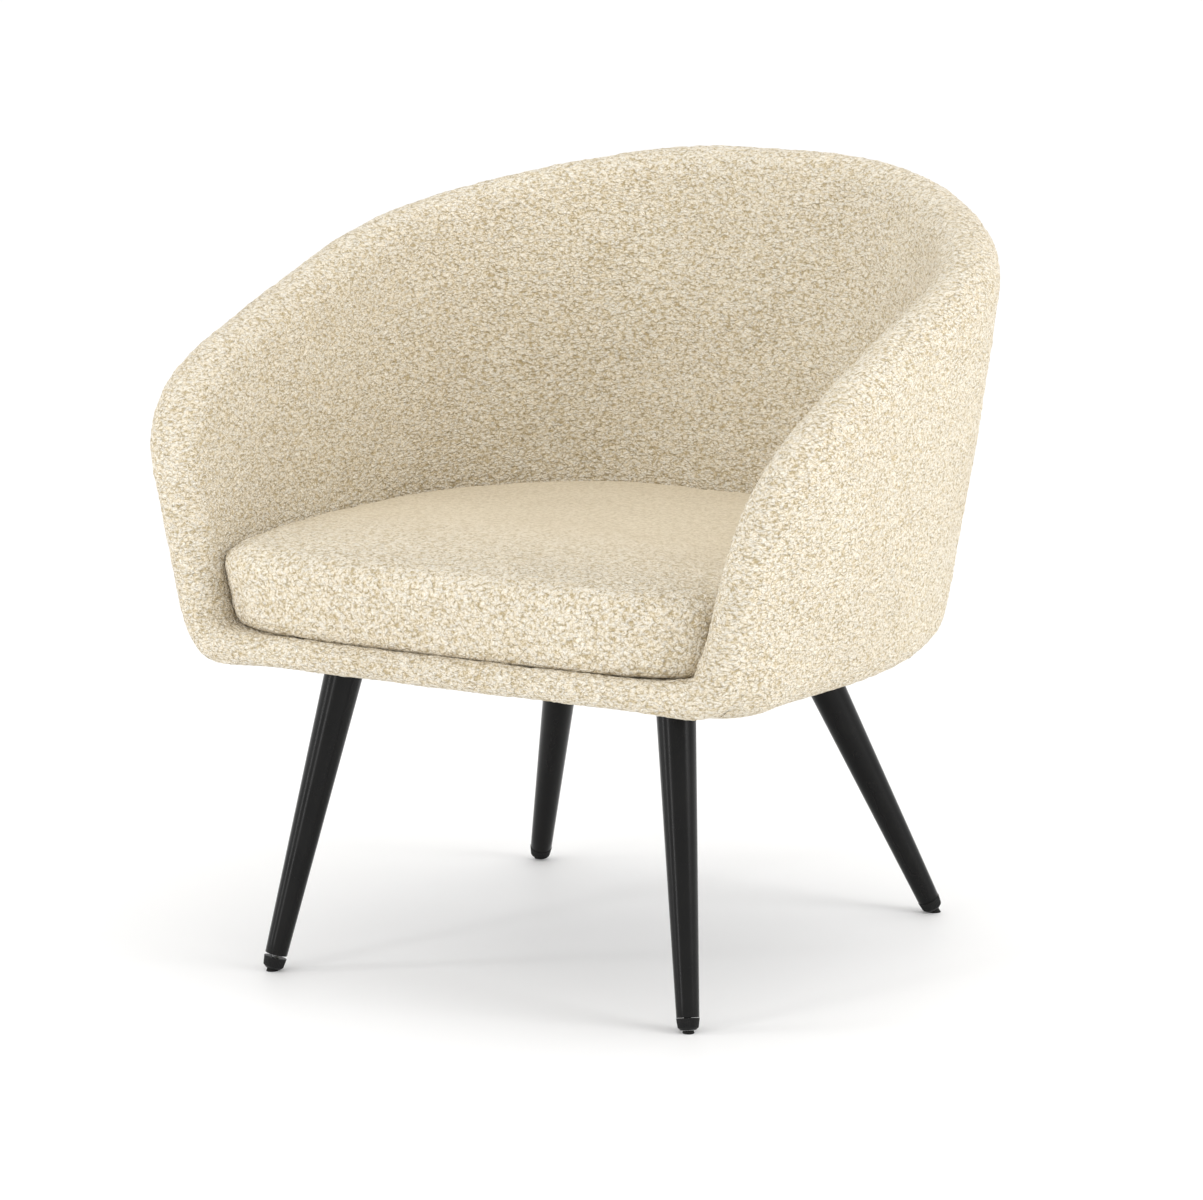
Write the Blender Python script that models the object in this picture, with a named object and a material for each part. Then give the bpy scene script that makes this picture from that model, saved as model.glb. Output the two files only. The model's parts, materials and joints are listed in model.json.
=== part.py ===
"""Tub armchair: a padded shell with a loose seat cushion on four splayed tapered steel legs.

Metres, +Z up, floor at z = 0. The chair faces -Y, and +X is on the right seen from the front.
"""
import math

import bmesh
import bpy
from mathutils import Matrix, Vector

# Shell. The rim is the centre line of the padded roll that runs round the back, the arms and
# the front rail. Half of each closed curve is given, from the middle of the back (first point)
# to the middle of the front (last point), as the control points of a uniform cubic B-spline.
RIM = (
    (0.000, 0.311, 0.690),
    (0.143, 0.341, 0.685),
    (0.328, 0.126, 0.641),
    (0.318, -0.027, 0.599),
    (0.333, -0.251, 0.533),
    (0.301, -0.301, 0.474),
    (0.269, -0.288, 0.308),
    (0.236, -0.327, 0.322),
    (0.000, -0.320, 0.318),
)
BASE = (
    (0.000, 0.240),
    (0.118, 0.239),
    (0.213, 0.170),
    (0.278, 0.048),
    (0.290, -0.094),
    (0.264, -0.220),
    (0.276, -0.278),
    (0.183, -0.280),
    (0.000, -0.284),
)
WELL = (
    (0.000, 0.183),
    (0.105, 0.183),
    (0.190, 0.125),
    (0.262, 0.030),
    (0.262, -0.090),
    (0.252, -0.205),
    (0.250, -0.262),
    (0.186, -0.284),
    (0.000, -0.287),
)
CUSHION = (
    (0.000, 0.201),
    (0.112, 0.199),
    (0.201, 0.128),
    (0.266, 0.018),
    (0.270, -0.110),
    (0.262, -0.226),
    (0.255, -0.314),
    (0.172, -0.332),
    (0.000, -0.330),
)
CENTRE_Y = -0.0085
ROLL_RADIUS = ((0, 0.032), (2, 0.030), (4, 0.030), (5, 0.023), (6, 0.023), (7, 0.014), (8, 0.014))
WALL_BULGE = ((0, 0.008), (3, 0.005), (6, 0.0), (8, 0.0))
FRONT_T = len(RIM) - 1
BASE_Z = 0.296
BASE_RADIUS = 0.043
WELL_Z = 0.3288
STATIONS = 21
LEFT_STATIONS = range(STATIONS, 2 * STATIONS)

# Layers of the shell, as depths below the fabric's face.
FABRIC = 0.002
FOAM_DEPTH = 0.0032
TURN_UNDER = 0.026
FOAM_LIP = 0.0155
SEAM_SHARE = 0.25
SEAM_GAP = 0.03
PLY_SHARES = (1.0, 0.5, 0.0)
PLY_HALF = 0.005
PLY_GAP = 0.0008
PLY_END_T = 5.2
PLY_TOP_SHARE = 0.97
RAIL_OUT = 0.010
RAIL_IN = 0.030
RAIL_Z = (0.3020, 0.3225)
BACK_JOINT_T = 2.0
FRONT_JOINT_T = 5.4
RAIL_JOINT_T = 0.01
LEG_RAIL_Z = (0.2960, 0.3225)
LEG_RAIL_WIDTH = 0.078
LEG_RAIL_SLACK = 0.002
GAP = 0.0004
SLIVER = 0.0003

# Seat suspension and deck, from the rails up.
STRAP_WIDTH = 0.050
STRAP_THICK = 0.0012
CROSS_STRAP_Z = 0.3228
LONG_STRAP_Z = 0.3243
DECK_CLOTH_Z = (0.3258, 0.3264)
DECK_CLOTH_IN = (0.020, 0.030)
DECK_PAD_Z = (0.3268, 0.3331)
DUST_COVER_Z = (0.2951, 0.2957)
DUST_COVER_IN = 0.010

# Loose cushion: each pair is the distance in from its widest outline, and the height.
CUSHION_PROFILE = (
    (0.0200, 0.3337),
    (0.0160, 0.3440),
    (0.0115, 0.3580),
    (0.0060, 0.3780),
    (0.0000, 0.3950),
    (0.0060, 0.4050),
    (0.0240, 0.4115),
)
CUSHION_FRONT_SHARE = 0.4
CUSHION_FRONT_T = (6.0, 7.2)
CUSHION_CROWN_Z = 0.4180
CUSHION_CENTRE = (0.0, -0.070)
CUSHION_SKIN = 0.002
CUSHION_CORE = 0.0030
ZIP_HALF_SPAN = 3
ZIP_ROW = 3
ZIP_DEPTHS = (0.0002, 0.0016)
ZIP_MARGIN = 0.04

# Legs. The foot is where the leg's axis meets the floor. The lean is the way the axis moves
# towards the middle of the chair for each metre up.
LEGS = {
    "front": {"foot": (0.222, -0.269), "lean": (0.163, 0.210)},
    "rear": {"foot": (0.221, 0.232), "lean": (0.330, -0.365)},
}
TUBE_FOOT_RADIUS = 0.0105
TUBE_FLARE = 0.0080 / 0.29
TUBE_WALL = 0.0015
PLATE_RADIUS = 0.036
PLATE_THICK = 0.003
PLATE_TOP_Z = 0.2947
PLATE_SIDES = 32
SCREW_CIRCLE = 0.0285
SCREW_COUNT = 3
SCREW_RADIUS = 0.0021
SCREW_HOLE_RADIUS = 0.0026
SCREW_LENGTH = 0.020
SCREW_HEAD_RADIUS = 0.0043
SCREW_HEAD_THICK = 0.0026
PILOT_DEPTH = 0.018

# Levelling glides.
CAP_TOP_RADIUS = 0.0108
CAP_FOOT_RADIUS = 0.0096
CAP_SOLE_RADIUS = 0.0070
CAP_HEIGHT = 0.011
CAP_CHAMFER = 0.0024
CAP_CLEARANCE = 0.0006
PAD_RADIUS = 0.0055
STUD_RADIUS = 0.0036
STUD_BORE_RADIUS = 0.0040
STUD_LENGTH = 0.030
STUD_IN_CAP = 0.007
INSERT_LENGTH = 0.022
SCREWED_OUT = {("front", -1): 0.0025}
ROUND_SIDES = 16

SIDES = {-1: "left", 1: "right"}


def clear_scene():
    for item in list(bpy.data.objects):
        bpy.data.objects.remove(item, do_unlink=True)


def make_material(name, color, roughness, metallic=0.0):
    material = bpy.data.materials.new(name)
    material.use_nodes = True
    shader = material.node_tree.nodes["Principled BSDF"]
    shader.inputs["Base Color"].default_value = (*color, 1.0)
    shader.inputs["Roughness"].default_value = roughness
    shader.inputs["Metallic"].default_value = metallic
    return material


# ---------------------------------------------------------------- meshes

def add_mesh(name, points, faces, material, matrix=None):
    """A closed mesh object, its faces turned outward and smooth where the surface is round."""
    mesh = bpy.data.meshes.new(name)
    mesh.from_pydata([tuple(p) for p in points], [], faces)
    build = bmesh.new()
    build.from_mesh(mesh)
    bmesh.ops.recalc_face_normals(build, faces=build.faces)
    build.to_mesh(mesh)
    build.free()
    mesh.shade_smooth()
    mesh.set_sharp_from_angle(angle=math.radians(40))
    mesh.materials.append(material)
    item = bpy.data.objects.new(name, mesh)
    bpy.context.collection.objects.link(item)
    if matrix is not None:
        item.matrix_world = matrix
    return item


def ring_faces(rings, size, closed, crossed=(), left=()):
    """Two triangles for each step along and between rings, back to the first if closed.

    Nested skins stay parallel because they share the diagonal. It runs the other way on the
    steps in crossed, where a ring is listed against its neighbour's direction, and between
    the rings in left, which mirror the right half.
    """
    faces = []
    count = rings if closed else rings - 1
    for i in range(count):
        a, b = i * size, (i + 1) % rings * size
        for k in range(size):
            n = (k + 1) % size
            if (k in crossed) != (i in left):
                faces += [(a + k, a + n, b + k), (a + n, b + n, b + k)]
            else:
                faces += [(a + k, a + n, b + n), (a + k, b + n, b + k)]
    return faces


def loft(name, rings, material, matrix=None):
    """A solid through the rings, with a flat face over the first ring and the last."""
    size = len(rings[0])
    faces = ring_faces(len(rings), size, False)
    faces.append(tuple(range(size)))
    faces.append(tuple(range(len(rings) * size - size, len(rings) * size)))
    return add_mesh(name, [p for ring in rings for p in ring], faces, material, matrix)


def tube(name, rings, material, matrix=None, left=()):
    """A solid with a hole through it: the rings run up the outside and down the inside."""
    faces = ring_faces(len(rings), len(rings[0]), True, (), left)
    return add_mesh(name, [p for ring in rings for p in ring], faces, material, matrix)


def strip_band(name, stations, material, closed, left, crossed_outside=False):
    """A curved sheet: each station is an outer path and an inner path of the same length."""
    half = len(stations[0][0])
    size = 2 * half
    points = [p for outer, inner in stations for p in (*outer, *reversed(inner))]
    crossed = range(0 if crossed_outside else half - 1, size)
    faces = ring_faces(len(stations), size, closed, crossed, left)
    if not closed:
        for start in (0, len(points) - size):
            for k in range(half - 1):
                a, b = start + k, start + size - 1 - k
                faces.append((a, a + 1, b - 1, b))
    return add_mesh(name, points, faces, material)


def circle(radius, z, sides=ROUND_SIDES):
    turns = [2 * math.pi * k / sides for k in range(sides)]
    return [Vector((radius * math.cos(a), radius * math.sin(a), z)) for a in turns]


def slab(name, outline, z_range, material):
    """A flat plate with the given outline between two heights."""
    rings = [[Vector((p[0], p[1], z)) for p in outline] for z in z_range]
    return loft(name, rings, material)


def drill(item, places, radius, z_range):
    """Cut upright round holes through an object with one hidden cutter."""
    points, faces = [], []
    for x, y in places:
        start = len(points)
        for z in z_range:
            points += [p + Vector((x, y, 0)) for p in circle(radius, z)]
        rim = range(ROUND_SIDES)
        faces += [tuple(start + v for v in f) for f in ring_faces(2, ROUND_SIDES, False)]
        faces += [tuple(start + k for k in rim), tuple(start + ROUND_SIDES + k for k in rim)]
    cutter = add_mesh("cutter_" + item.name, points, faces, item.data.materials[0])
    cutter.hide_render = True
    cutter.display_type = "WIRE"
    cut = item.modifiers.new("holes", "BOOLEAN")
    cut.operation = "DIFFERENCE"
    cut.solver = "EXACT"
    cut.object = cutter


# ---------------------------------------------------------------- shell curves

def spline(points, t):
    """Point and direction at t on the closed cubic B-spline that mirrors the half given."""
    full = [Vector(p).to_3d() for p in points]
    full += [Vector((-p.x, p.y, p.z)) for p in full[-2:0:-1]]
    i = min(int(math.floor(t)), len(points) - 2)
    u = t - i
    weights = (
        (1 - u) ** 3 / 6,
        (3 * u**3 - 6 * u**2 + 4) / 6,
        (-3 * u**3 + 3 * u**2 + 3 * u + 1) / 6,
        u**3 / 6,
    )
    slopes = (
        -((1 - u) ** 2) / 2,
        (3 * u**2 - 4 * u) / 2,
        (-3 * u**2 + 2 * u + 1) / 2,
        u**2 / 2,
    )
    near = [full[(i - 1 + k) % len(full)] for k in range(4)]
    place = sum((w * p for w, p in zip(weights, near)), Vector((0, CENTRE_Y, 0)))
    way = sum((w * p for w, p in zip(slopes, near)), Vector())
    return place, way.normalized()


def read_off(table, t):
    for (t0, v0), (t1, v1) in zip(table, table[1:]):
        if t <= t1:
            return v0 + (v1 - v0) * (t - t0) / (t1 - t0)
    return table[-1][1]


class Station:
    """One cross section of the shell, at t from the back (0) to the front (FRONT_T)."""

    def __init__(self, t):
        up = Vector((0, 0, 1))
        self.rim, rim_way = spline(RIM, t)
        base, base_way = spline(BASE, t)
        self.base = Vector((base.x, base.y, BASE_Z + BASE_RADIUS))
        well, _ = spline(WELL, t)
        self.well = Vector((well.x, well.y, WELL_Z))
        self.roll = read_off(ROLL_RADIUS, t)
        self.bulge = read_off(WALL_BULGE, t)
        way = (rim_way + base_way).normalized()
        out = up.cross(way).normalized()
        lift = way.cross(out)
        self.rim_out = (out - out.dot(rim_way) * rim_way).normalized()
        self.rim_up = rim_way.cross(self.rim_out)
        self.base_out = up.cross(base_way).normalized()
        fall = self.base - self.rim
        across, along = fall.dot(out), fall.dot(lift)
        length = math.hypot(across, along)
        sine = max(-0.95, min(0.95, (self.roll - BASE_RADIUS) / length))
        self.outer_angle = math.atan2(across, -along) - math.asin(sine)
        drop = self.well - self.rim
        across, along = drop.dot(out), drop.dot(lift)
        reach = max(math.hypot(across, along), self.roll * 1.02)
        turn = math.atan2(along, across) - math.acos(self.roll / reach)
        self.inner_angle = turn % (2 * math.pi)

    def roll_point(self, angle, depth):
        ray = math.cos(angle) * self.rim_out + math.sin(angle) * self.rim_up
        return self.rim + (self.roll - depth) * ray

    def base_point(self, angle, depth):
        ray = math.cos(angle) * self.base_out + math.sin(angle) * Vector((0, 0, 1))
        return self.base + (BASE_RADIUS - depth) * ray

    def wall_point(self, share, depth):
        """On the outer wall, from the roll (share 0) to the rounded base edge (share 1)."""
        out = self.rim_out.lerp(self.base_out, share).normalized()
        lift = self.rim_up.lerp(Vector((0, 0, 1)), share)
        lift = (lift - lift.dot(out) * out).normalized()
        ray = math.cos(self.outer_angle) * out + math.sin(self.outer_angle) * lift
        radius = self.roll + (BASE_RADIUS - self.roll) * share - depth
        swell = 4 * share * (1 - share) * self.bulge
        return self.rim.lerp(self.base, share) + radius * ray + swell * out

    def core_point(self, share):
        """In the middle of the wall, where the plywood stands."""
        out = self.rim_out.lerp(self.base_out, share).normalized()
        swell = 4 * share * (1 - share) * self.bulge
        return self.rim.lerp(self.base, share) + swell * out

    def beside(self, offset, z):
        """A point beside the base line, outward by the offset, at a height."""
        place = self.base + offset * self.base_out
        return Vector((place.x, place.y, z))

    def seam_angle(self):
        return self.outer_angle + SEAM_SHARE * (self.inner_angle - self.outer_angle)

    def outside_path(self, depth, end_angle):
        """Under the base, round its edge, up the wall and over the roll to an angle."""
        path = [self.beside(-TURN_UNDER, BASE_Z + depth)]
        down = -math.pi / 2
        for k in range(4):
            angle = down + (self.outer_angle - down) * k / 3
            path.append(self.base_point(angle, depth))
        path += [self.wall_point(share, depth) for share in (0.75, 0.5, 0.25, 0.0)]
        for k in (1, 2):
            angle = self.outer_angle + (end_angle - self.outer_angle) * k / 2
            path.append(self.roll_point(angle, depth))
        return path

    def inside_path(self, depth, start_angle):
        """From an angle on the roll over it and down the inner wall to the seat well."""
        path = []
        for k in range(6):
            angle = start_angle + (self.inner_angle - start_angle) * k / 5
            path.append(self.roll_point(angle, depth))
        top, foot = path[-1], self.well_point(depth)
        path += [top.lerp(foot, k / 4) for k in range(1, 5)]
        return path

    def well_point(self, depth):
        """The foot of the inner wall, moved into the padding square to the wall."""
        angle = self.inner_angle
        ray = math.cos(angle) * self.base_out + math.sin(angle) * Vector((0, 0, 1))
        return self.well - depth * ray

    def ledges(self):
        """Outward offsets of the plywood slot's two sides and of the rail's outer face."""
        well = (self.well - self.base).dot(self.base_out)
        slot_in = max(-PLY_HALF - PLY_GAP, well + 0.002)
        slot_out = max(PLY_HALF + PLY_GAP, slot_in + 0.002)
        return slot_in, slot_out, max(RAIL_OUT + 2 * GAP, slot_out + 0.002)


def mirrored(points):
    return [Vector((-p.x, p.y, p.z)) for p in points]


def round_shell(section):
    """The section at every station, once round the shell from the middle of the back."""
    right = [section(Station(FRONT_T * k / STATIONS)) for k in range(STATIONS + 1)]
    return right + [flip(item) for item in right[-2:0:-1]]


def flip(item):
    """The mirror image of a path or of a pair of paths."""
    if isinstance(item, tuple):
        return tuple(mirrored(path) for path in item)
    return mirrored(item)


def outline(points, inset, front_inset=None):
    """Closed outline of a mirrored spline, moved in by the inset, which may end different."""
    path = []
    start, end = CUSHION_FRONT_T
    front_inset = inset if front_inset is None else front_inset
    for k in range(STATIONS + 1):
        t = FRONT_T * k / STATIONS
        place, way = spline(points, t)
        share = max(0.0, min(1.0, (t - start) / (end - start)))
        here = inset + (front_inset - inset) * share
        path.append(place - here * Vector((0, 0, 1)).cross(way).normalized())
    return path + mirrored(path[-2:0:-1])


def reach_at(y, inset):
    """Half the width, at a depth y, inside the base line moved in by the inset."""
    low, high = 0.0, float(FRONT_T)
    for _ in range(30):
        t = (low + high) / 2
        place, way = spline(BASE, t)
        edge = place - inset * Vector((0, 0, 1)).cross(way).normalized()
        if edge.y > y:
            low = t
        else:
            high = t
    return edge.x


# ---------------------------------------------------------------- shell parts

def add_covers(fabric):
    def outer(station):
        end = station.seam_angle()
        return station.outside_path(0, end), station.outside_path(FABRIC, end)

    def inner(station):
        start = station.seam_angle() + SEAM_GAP
        return station.inside_path(0, start), station.inside_path(FABRIC, start)

    strip_band("outer_cover", round_shell(outer), fabric, True, LEFT_STATIONS)
    strip_band("inner_cover", round_shell(inner), fabric, True, LEFT_STATIONS)


def add_foam(foam):
    """Moulded foam round the plywood and the rails, with a slot that the plywood fills."""
    floor_z = RAIL_Z[0] - GAP

    def section(station, slotted):
        slot_in, slot_out, ledge = station.ledges()
        ledge_z = station.well_point(FOAM_DEPTH).z - SLIVER
        seam = station.seam_angle()
        path = station.outside_path(FOAM_DEPTH, seam)
        path[0] = station.beside(-FOAM_LIP, BASE_Z + FOAM_DEPTH)
        path += station.inside_path(FOAM_DEPTH, seam)[1:]
        middle = [station.core_point(share) for share in PLY_SHARES]
        if slotted:
            middle[-1] = middle[-1] + PLY_GAP * station.rim_up
            outs = [station.rim_out.lerp(station.base_out, share) for share in PLY_SHARES]
            side_in = [p + slot_in * out for p, out in zip(middle, outs)]
            side_out = [p + slot_out * out for p, out in zip(middle, outs)]
        else:
            heights = [ledge_z + rise * SLIVER for rise in (1, 2, 3)]
            side_in = [station.beside(slot_in, z) for z in heights]
            side_out = [station.beside(slot_out, z) for z in heights]
        path += [station.beside(slot_in, ledge_z), *side_in]
        path += [*reversed(side_out), station.beside(slot_out, ledge_z)]
        path += [station.beside(ledge, ledge_z), station.beside(ledge, floor_z)]
        path.append(station.beside(-FOAM_LIP, floor_z))
        return path

    right = []
    for k in range(STATIONS + 1):
        t = FRONT_T * k / STATIONS
        right.append(section(Station(t), t < PLY_END_T + 0.1))
    rings = right + [mirrored(path) for path in right[-2:0:-1]]
    tube("shell_foam", rings, foam, None, LEFT_STATIONS)


def add_plywood(plywood):
    """Bent plywood wall inside the back and the arms, standing on the rails."""
    def section(t):
        station = Station(t)
        faces = []
        for side in (1, -1):
            face = [station.beside(side * PLY_HALF, WELL_Z)]
            for share in PLY_SHARES:
                out = station.rim_out.lerp(station.base_out, share)
                face.append(station.core_point(share) + side * PLY_HALF * out)
            face[-1] = face[-2].lerp(face[-1], PLY_TOP_SHARE)
            faces.append(face)
        return tuple(faces)

    step = FRONT_T / STATIONS
    right = [section(step * k) for k in range(int(PLY_END_T / step) + 1)]
    left = [flip(item) for item in right[:0:-1]]
    strip_band("plywood_shell", left + right, plywood, False, range(len(left)), True)


def add_rails(wood):
    """Four curved rails under the wall, and two straight rails that carry the legs."""
    step = FRONT_T / STATIONS

    def section(index):
        station = Station(step * index)
        outer = station.ledges()[2] - 2 * GAP
        corners = ((outer, RAIL_Z[0]), (outer, RAIL_Z[1]),
                   (-RAIL_IN, RAIL_Z[1]), (-RAIL_IN, RAIL_Z[0]))
        return [station.beside(offset, z) for offset, z in corners]

    def rail(name, t0, t1, both_sides):
        """The straight stretches between the shell's stations, cut off at t0 and t1."""
        first, last = math.floor(t0 / step), math.ceil(t1 / step)
        rings = [section(index) for index in range(first, last + 1)]
        start, end = t0 / step - first, t1 / step - (last - 1)
        head = [a.lerp(b, start) for a, b in zip(rings[0], rings[1])]
        tail = [a.lerp(b, end) for a, b in zip(rings[-2], rings[-1])]
        rings[0], rings[-1] = head, tail
        if both_sides:
            middle_first = rings[1:] if t0 == 0 else rings[:-1]
            other = [mirrored(ring) for ring in middle_first]
            rings = other[::-1] + rings if t0 == 0 else rings + other[::-1]
            loft(name, rings, wood)
            return
        loft(name + "_right", rings, wood)
        loft(name + "_left", [mirrored(ring) for ring in rings], wood)

    rail("back_rail", 0, BACK_JOINT_T - RAIL_JOINT_T, True)
    rail("side_rail", BACK_JOINT_T, FRONT_JOINT_T, False)
    rail("front_rail", FRONT_JOINT_T + RAIL_JOINT_T, FRONT_T, True)

    for end in LEGS:
        middle = plate_centre(end, 1).y
        y0, y1 = middle - LEG_RAIL_WIDTH / 2, middle + LEG_RAIL_WIDTH / 2
        x0, x1 = (reach_at(y, RAIL_IN + LEG_RAIL_SLACK) for y in (y0, y1))
        corners = ((-x0, y0), (x0, y0), (x1, y1), (-x1, y1))
        beam = slab(f"{end}_leg_rail", corners, LEG_RAIL_Z, wood)
        places = [place for side in SIDES for place in screw_places(end, side)]
        top = PLATE_TOP_Z + PILOT_DEPTH
        drill(beam, places, SCREW_HOLE_RADIUS, (LEG_RAIL_Z[0] - 0.001, top))


def add_seat_deck(webbing, cloth, felt):
    """Webbing over the rails, a cloth over the webbing, and a thin pad in the seat well."""
    def strap(name, x_range, y_range, z):
        (x0, x1), (y0, y1) = x_range, [y + CENTRE_Y for y in y_range]
        corners = ((x0, y0), (x1, y0), (x1, y1), (x0, y1))
        slab(name, corners, (z, z + STRAP_THICK), webbing)

    half = STRAP_WIDTH / 2
    for i, (y, reach) in enumerate(((-0.18, 0.253), (-0.06, 0.260), (0.06, 0.244))):
        strap(f"webbing_cross_{i + 1}", (-reach, reach), (y - half, y + half), CROSS_STRAP_Z)
    for i, (x, back) in enumerate(((-0.115, 0.197), (0.0, 0.225), (0.115, 0.197))):
        strap(f"webbing_long_{i + 1}", (x - half, x + half), (-0.272, back), LONG_STRAP_Z)
    slab("deck_cloth", outline(BASE, *DECK_CLOTH_IN), DECK_CLOTH_Z, cloth)
    slab("deck_pad", outline(WELL, 0.0025), DECK_PAD_Z, felt)


def add_dust_cover(cloth):
    sheet = slab("dust_cover", outline(BASE, DUST_COVER_IN), DUST_COVER_Z, cloth)
    places = [p for end in LEGS for side in SIDES for p in screw_places(end, side)]
    drill(sheet, places, SCREW_HOLE_RADIUS, (DUST_COVER_Z[0] - 0.001, DUST_COVER_Z[1] + 0.001))


# ---------------------------------------------------------------- cushion

def cushion_rings(depth):
    """Closed rings of the cushion from the middle of its underside to its crown."""
    middle = Vector((*CUSHION_CENTRE, 0)) + Vector((0, CENTRE_Y, 0))
    edges = []
    for inset, z in CUSHION_PROFILE:
        ring = outline(CUSHION, inset + depth, inset * CUSHION_FRONT_SHARE + depth)
        edges.append([p + Vector((0, 0, z)) for p in ring])
    bottom_z, top_z = CUSHION_PROFILE[0][1] + depth, CUSHION_PROFILE[-1][1] - depth
    for ring, z in ((edges[0], bottom_z), (edges[-1], top_z)):
        for point in ring:
            point.z = z
    floor_ring = [middle.lerp(Vector((p.x, p.y, 0)), 0.4) for p in edges[0]]
    rings = [[p + Vector((0, 0, bottom_z)) for p in floor_ring], *edges]
    for share in (0.66, 0.33):
        rise = (CUSHION_CROWN_Z - CUSHION_PROFILE[-1][1]) * (1 - share**2)
        flat = [middle.lerp(Vector((p.x, p.y, 0)), share) for p in edges[-1]]
        rings.append([p + Vector((0, 0, top_z + rise)) for p in flat])
    return rings


def add_cushion(fabric, foam, plastic):
    """A fabric cover with a zip slot in its back edge, the foam in it, and the zip."""
    outer, inner = cushion_rings(0), cushion_rings(CUSHION_SKIN)
    rings, size = len(outer), len(outer[0])

    def in_slot(row, k):
        return row == ZIP_ROW and (k < ZIP_HALF_SPAN or k >= size - ZIP_HALF_SPAN)

    points = [p for ring in (*outer, *inner) for p in ring]
    faces = []
    for skin in (0, 1):
        start = skin * rings * size
        for row in range(rings - 1):
            for k in range(size):
                if in_slot(row, k):
                    continue
                a, n = start + row * size, (k + 1) % size
                quad = (a + k, a + n, a + size + n, a + size + k)
                faces.append(quad if skin == 0 else quad[::-1])
        bottom = tuple(start + k for k in range(size))
        top = tuple(start + (rings - 1) * size + k for k in range(size))
        faces.append(bottom[::-1] if skin == 0 else bottom)
        faces.append(top if skin == 0 else top[::-1])
    low, high, jump = ZIP_ROW * size, (ZIP_ROW + 1) * size, rings * size
    span = [k % size for k in range(-ZIP_HALF_SPAN, ZIP_HALF_SPAN + 1)]
    for a, b in zip(span, span[1:]):
        faces.append((low + a, low + b, low + jump + b, low + jump + a))
        faces.append((high + b, high + a, high + jump + a, high + jump + b))
    for k, step in ((span[0], 1), (span[-1], -1)):
        wall = (low + k, low + jump + k, high + jump + k, high + k)
        faces.append(wall[::step])
    add_mesh("cushion_cover", points, faces, fabric)
    loft("cushion_foam", cushion_rings(CUSHION_CORE), foam)

    add_zip(span, plastic)


def add_zip(span, plastic):
    """A strip that closes the slot between two rings of the cover, clear of its edges."""
    corners = []
    for depth in ZIP_DEPTHS:
        low, high = cushion_rings(depth)[ZIP_ROW:ZIP_ROW + 2]
        corners.append([(low[k].lerp(high[k], ZIP_MARGIN), high[k].lerp(low[k], ZIP_MARGIN))
                        for k in span])
    sections = [[a0, a1, b1, b0] for (a0, a1), (b0, b1) in zip(*corners)]
    for end, near in ((0, 1), (-1, -2)):
        pairs = zip(sections[end], sections[near])
        sections[end] = [p.lerp(q, ZIP_MARGIN) for p, q in pairs]
    loft("cushion_zip", sections, plastic)


# ---------------------------------------------------------------- legs

def leg_matrix(end, side):
    """A frame on the leg's axis: origin where the axis meets the floor, Z up the leg."""
    leg = LEGS[end]
    foot = Vector((side * leg["foot"][0], leg["foot"][1] + CENTRE_Y, 0))
    way = Vector((-side * leg["lean"][0], leg["lean"][1], 1)).normalized()
    across = Vector((0, 1, 0)).cross(way).normalized()
    turn = Matrix((across, way.cross(across), way)).transposed()
    return Matrix.Translation(foot) @ turn.to_4x4()


def plate_centre(end, side):
    frame = leg_matrix(end, side)
    way = frame.col[2].to_3d()
    return frame.translation + way * (PLATE_TOP_Z / way.z)


def screw_places(end, side):
    """Screw centres round a plate, the first one towards the foot of the leg."""
    centre = plate_centre(end, side)
    away = leg_matrix(end, side).translation - centre
    first = math.atan2(away.y, away.x)
    turns = [first + 2 * math.pi * k / SCREW_COUNT for k in range(SCREW_COUNT)]
    return [(centre.x + SCREW_CIRCLE * math.cos(a), centre.y + SCREW_CIRCLE * math.sin(a))
            for a in turns]


def cut_ring(matrix, radius_at, z, sides=ROUND_SIDES):
    """A ring round a leaning cone where the level plane at z cuts it, in the cone's frame."""
    ring = []
    for low, high in zip(circle(radius_at(0), 0, sides), circle(radius_at(0.3), 0.3, sides)):
        z0, z1 = (matrix @ low).z, (matrix @ high).z
        ring.append(low.lerp(high, (z - z0) / (z1 - z0)))
    return ring


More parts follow.
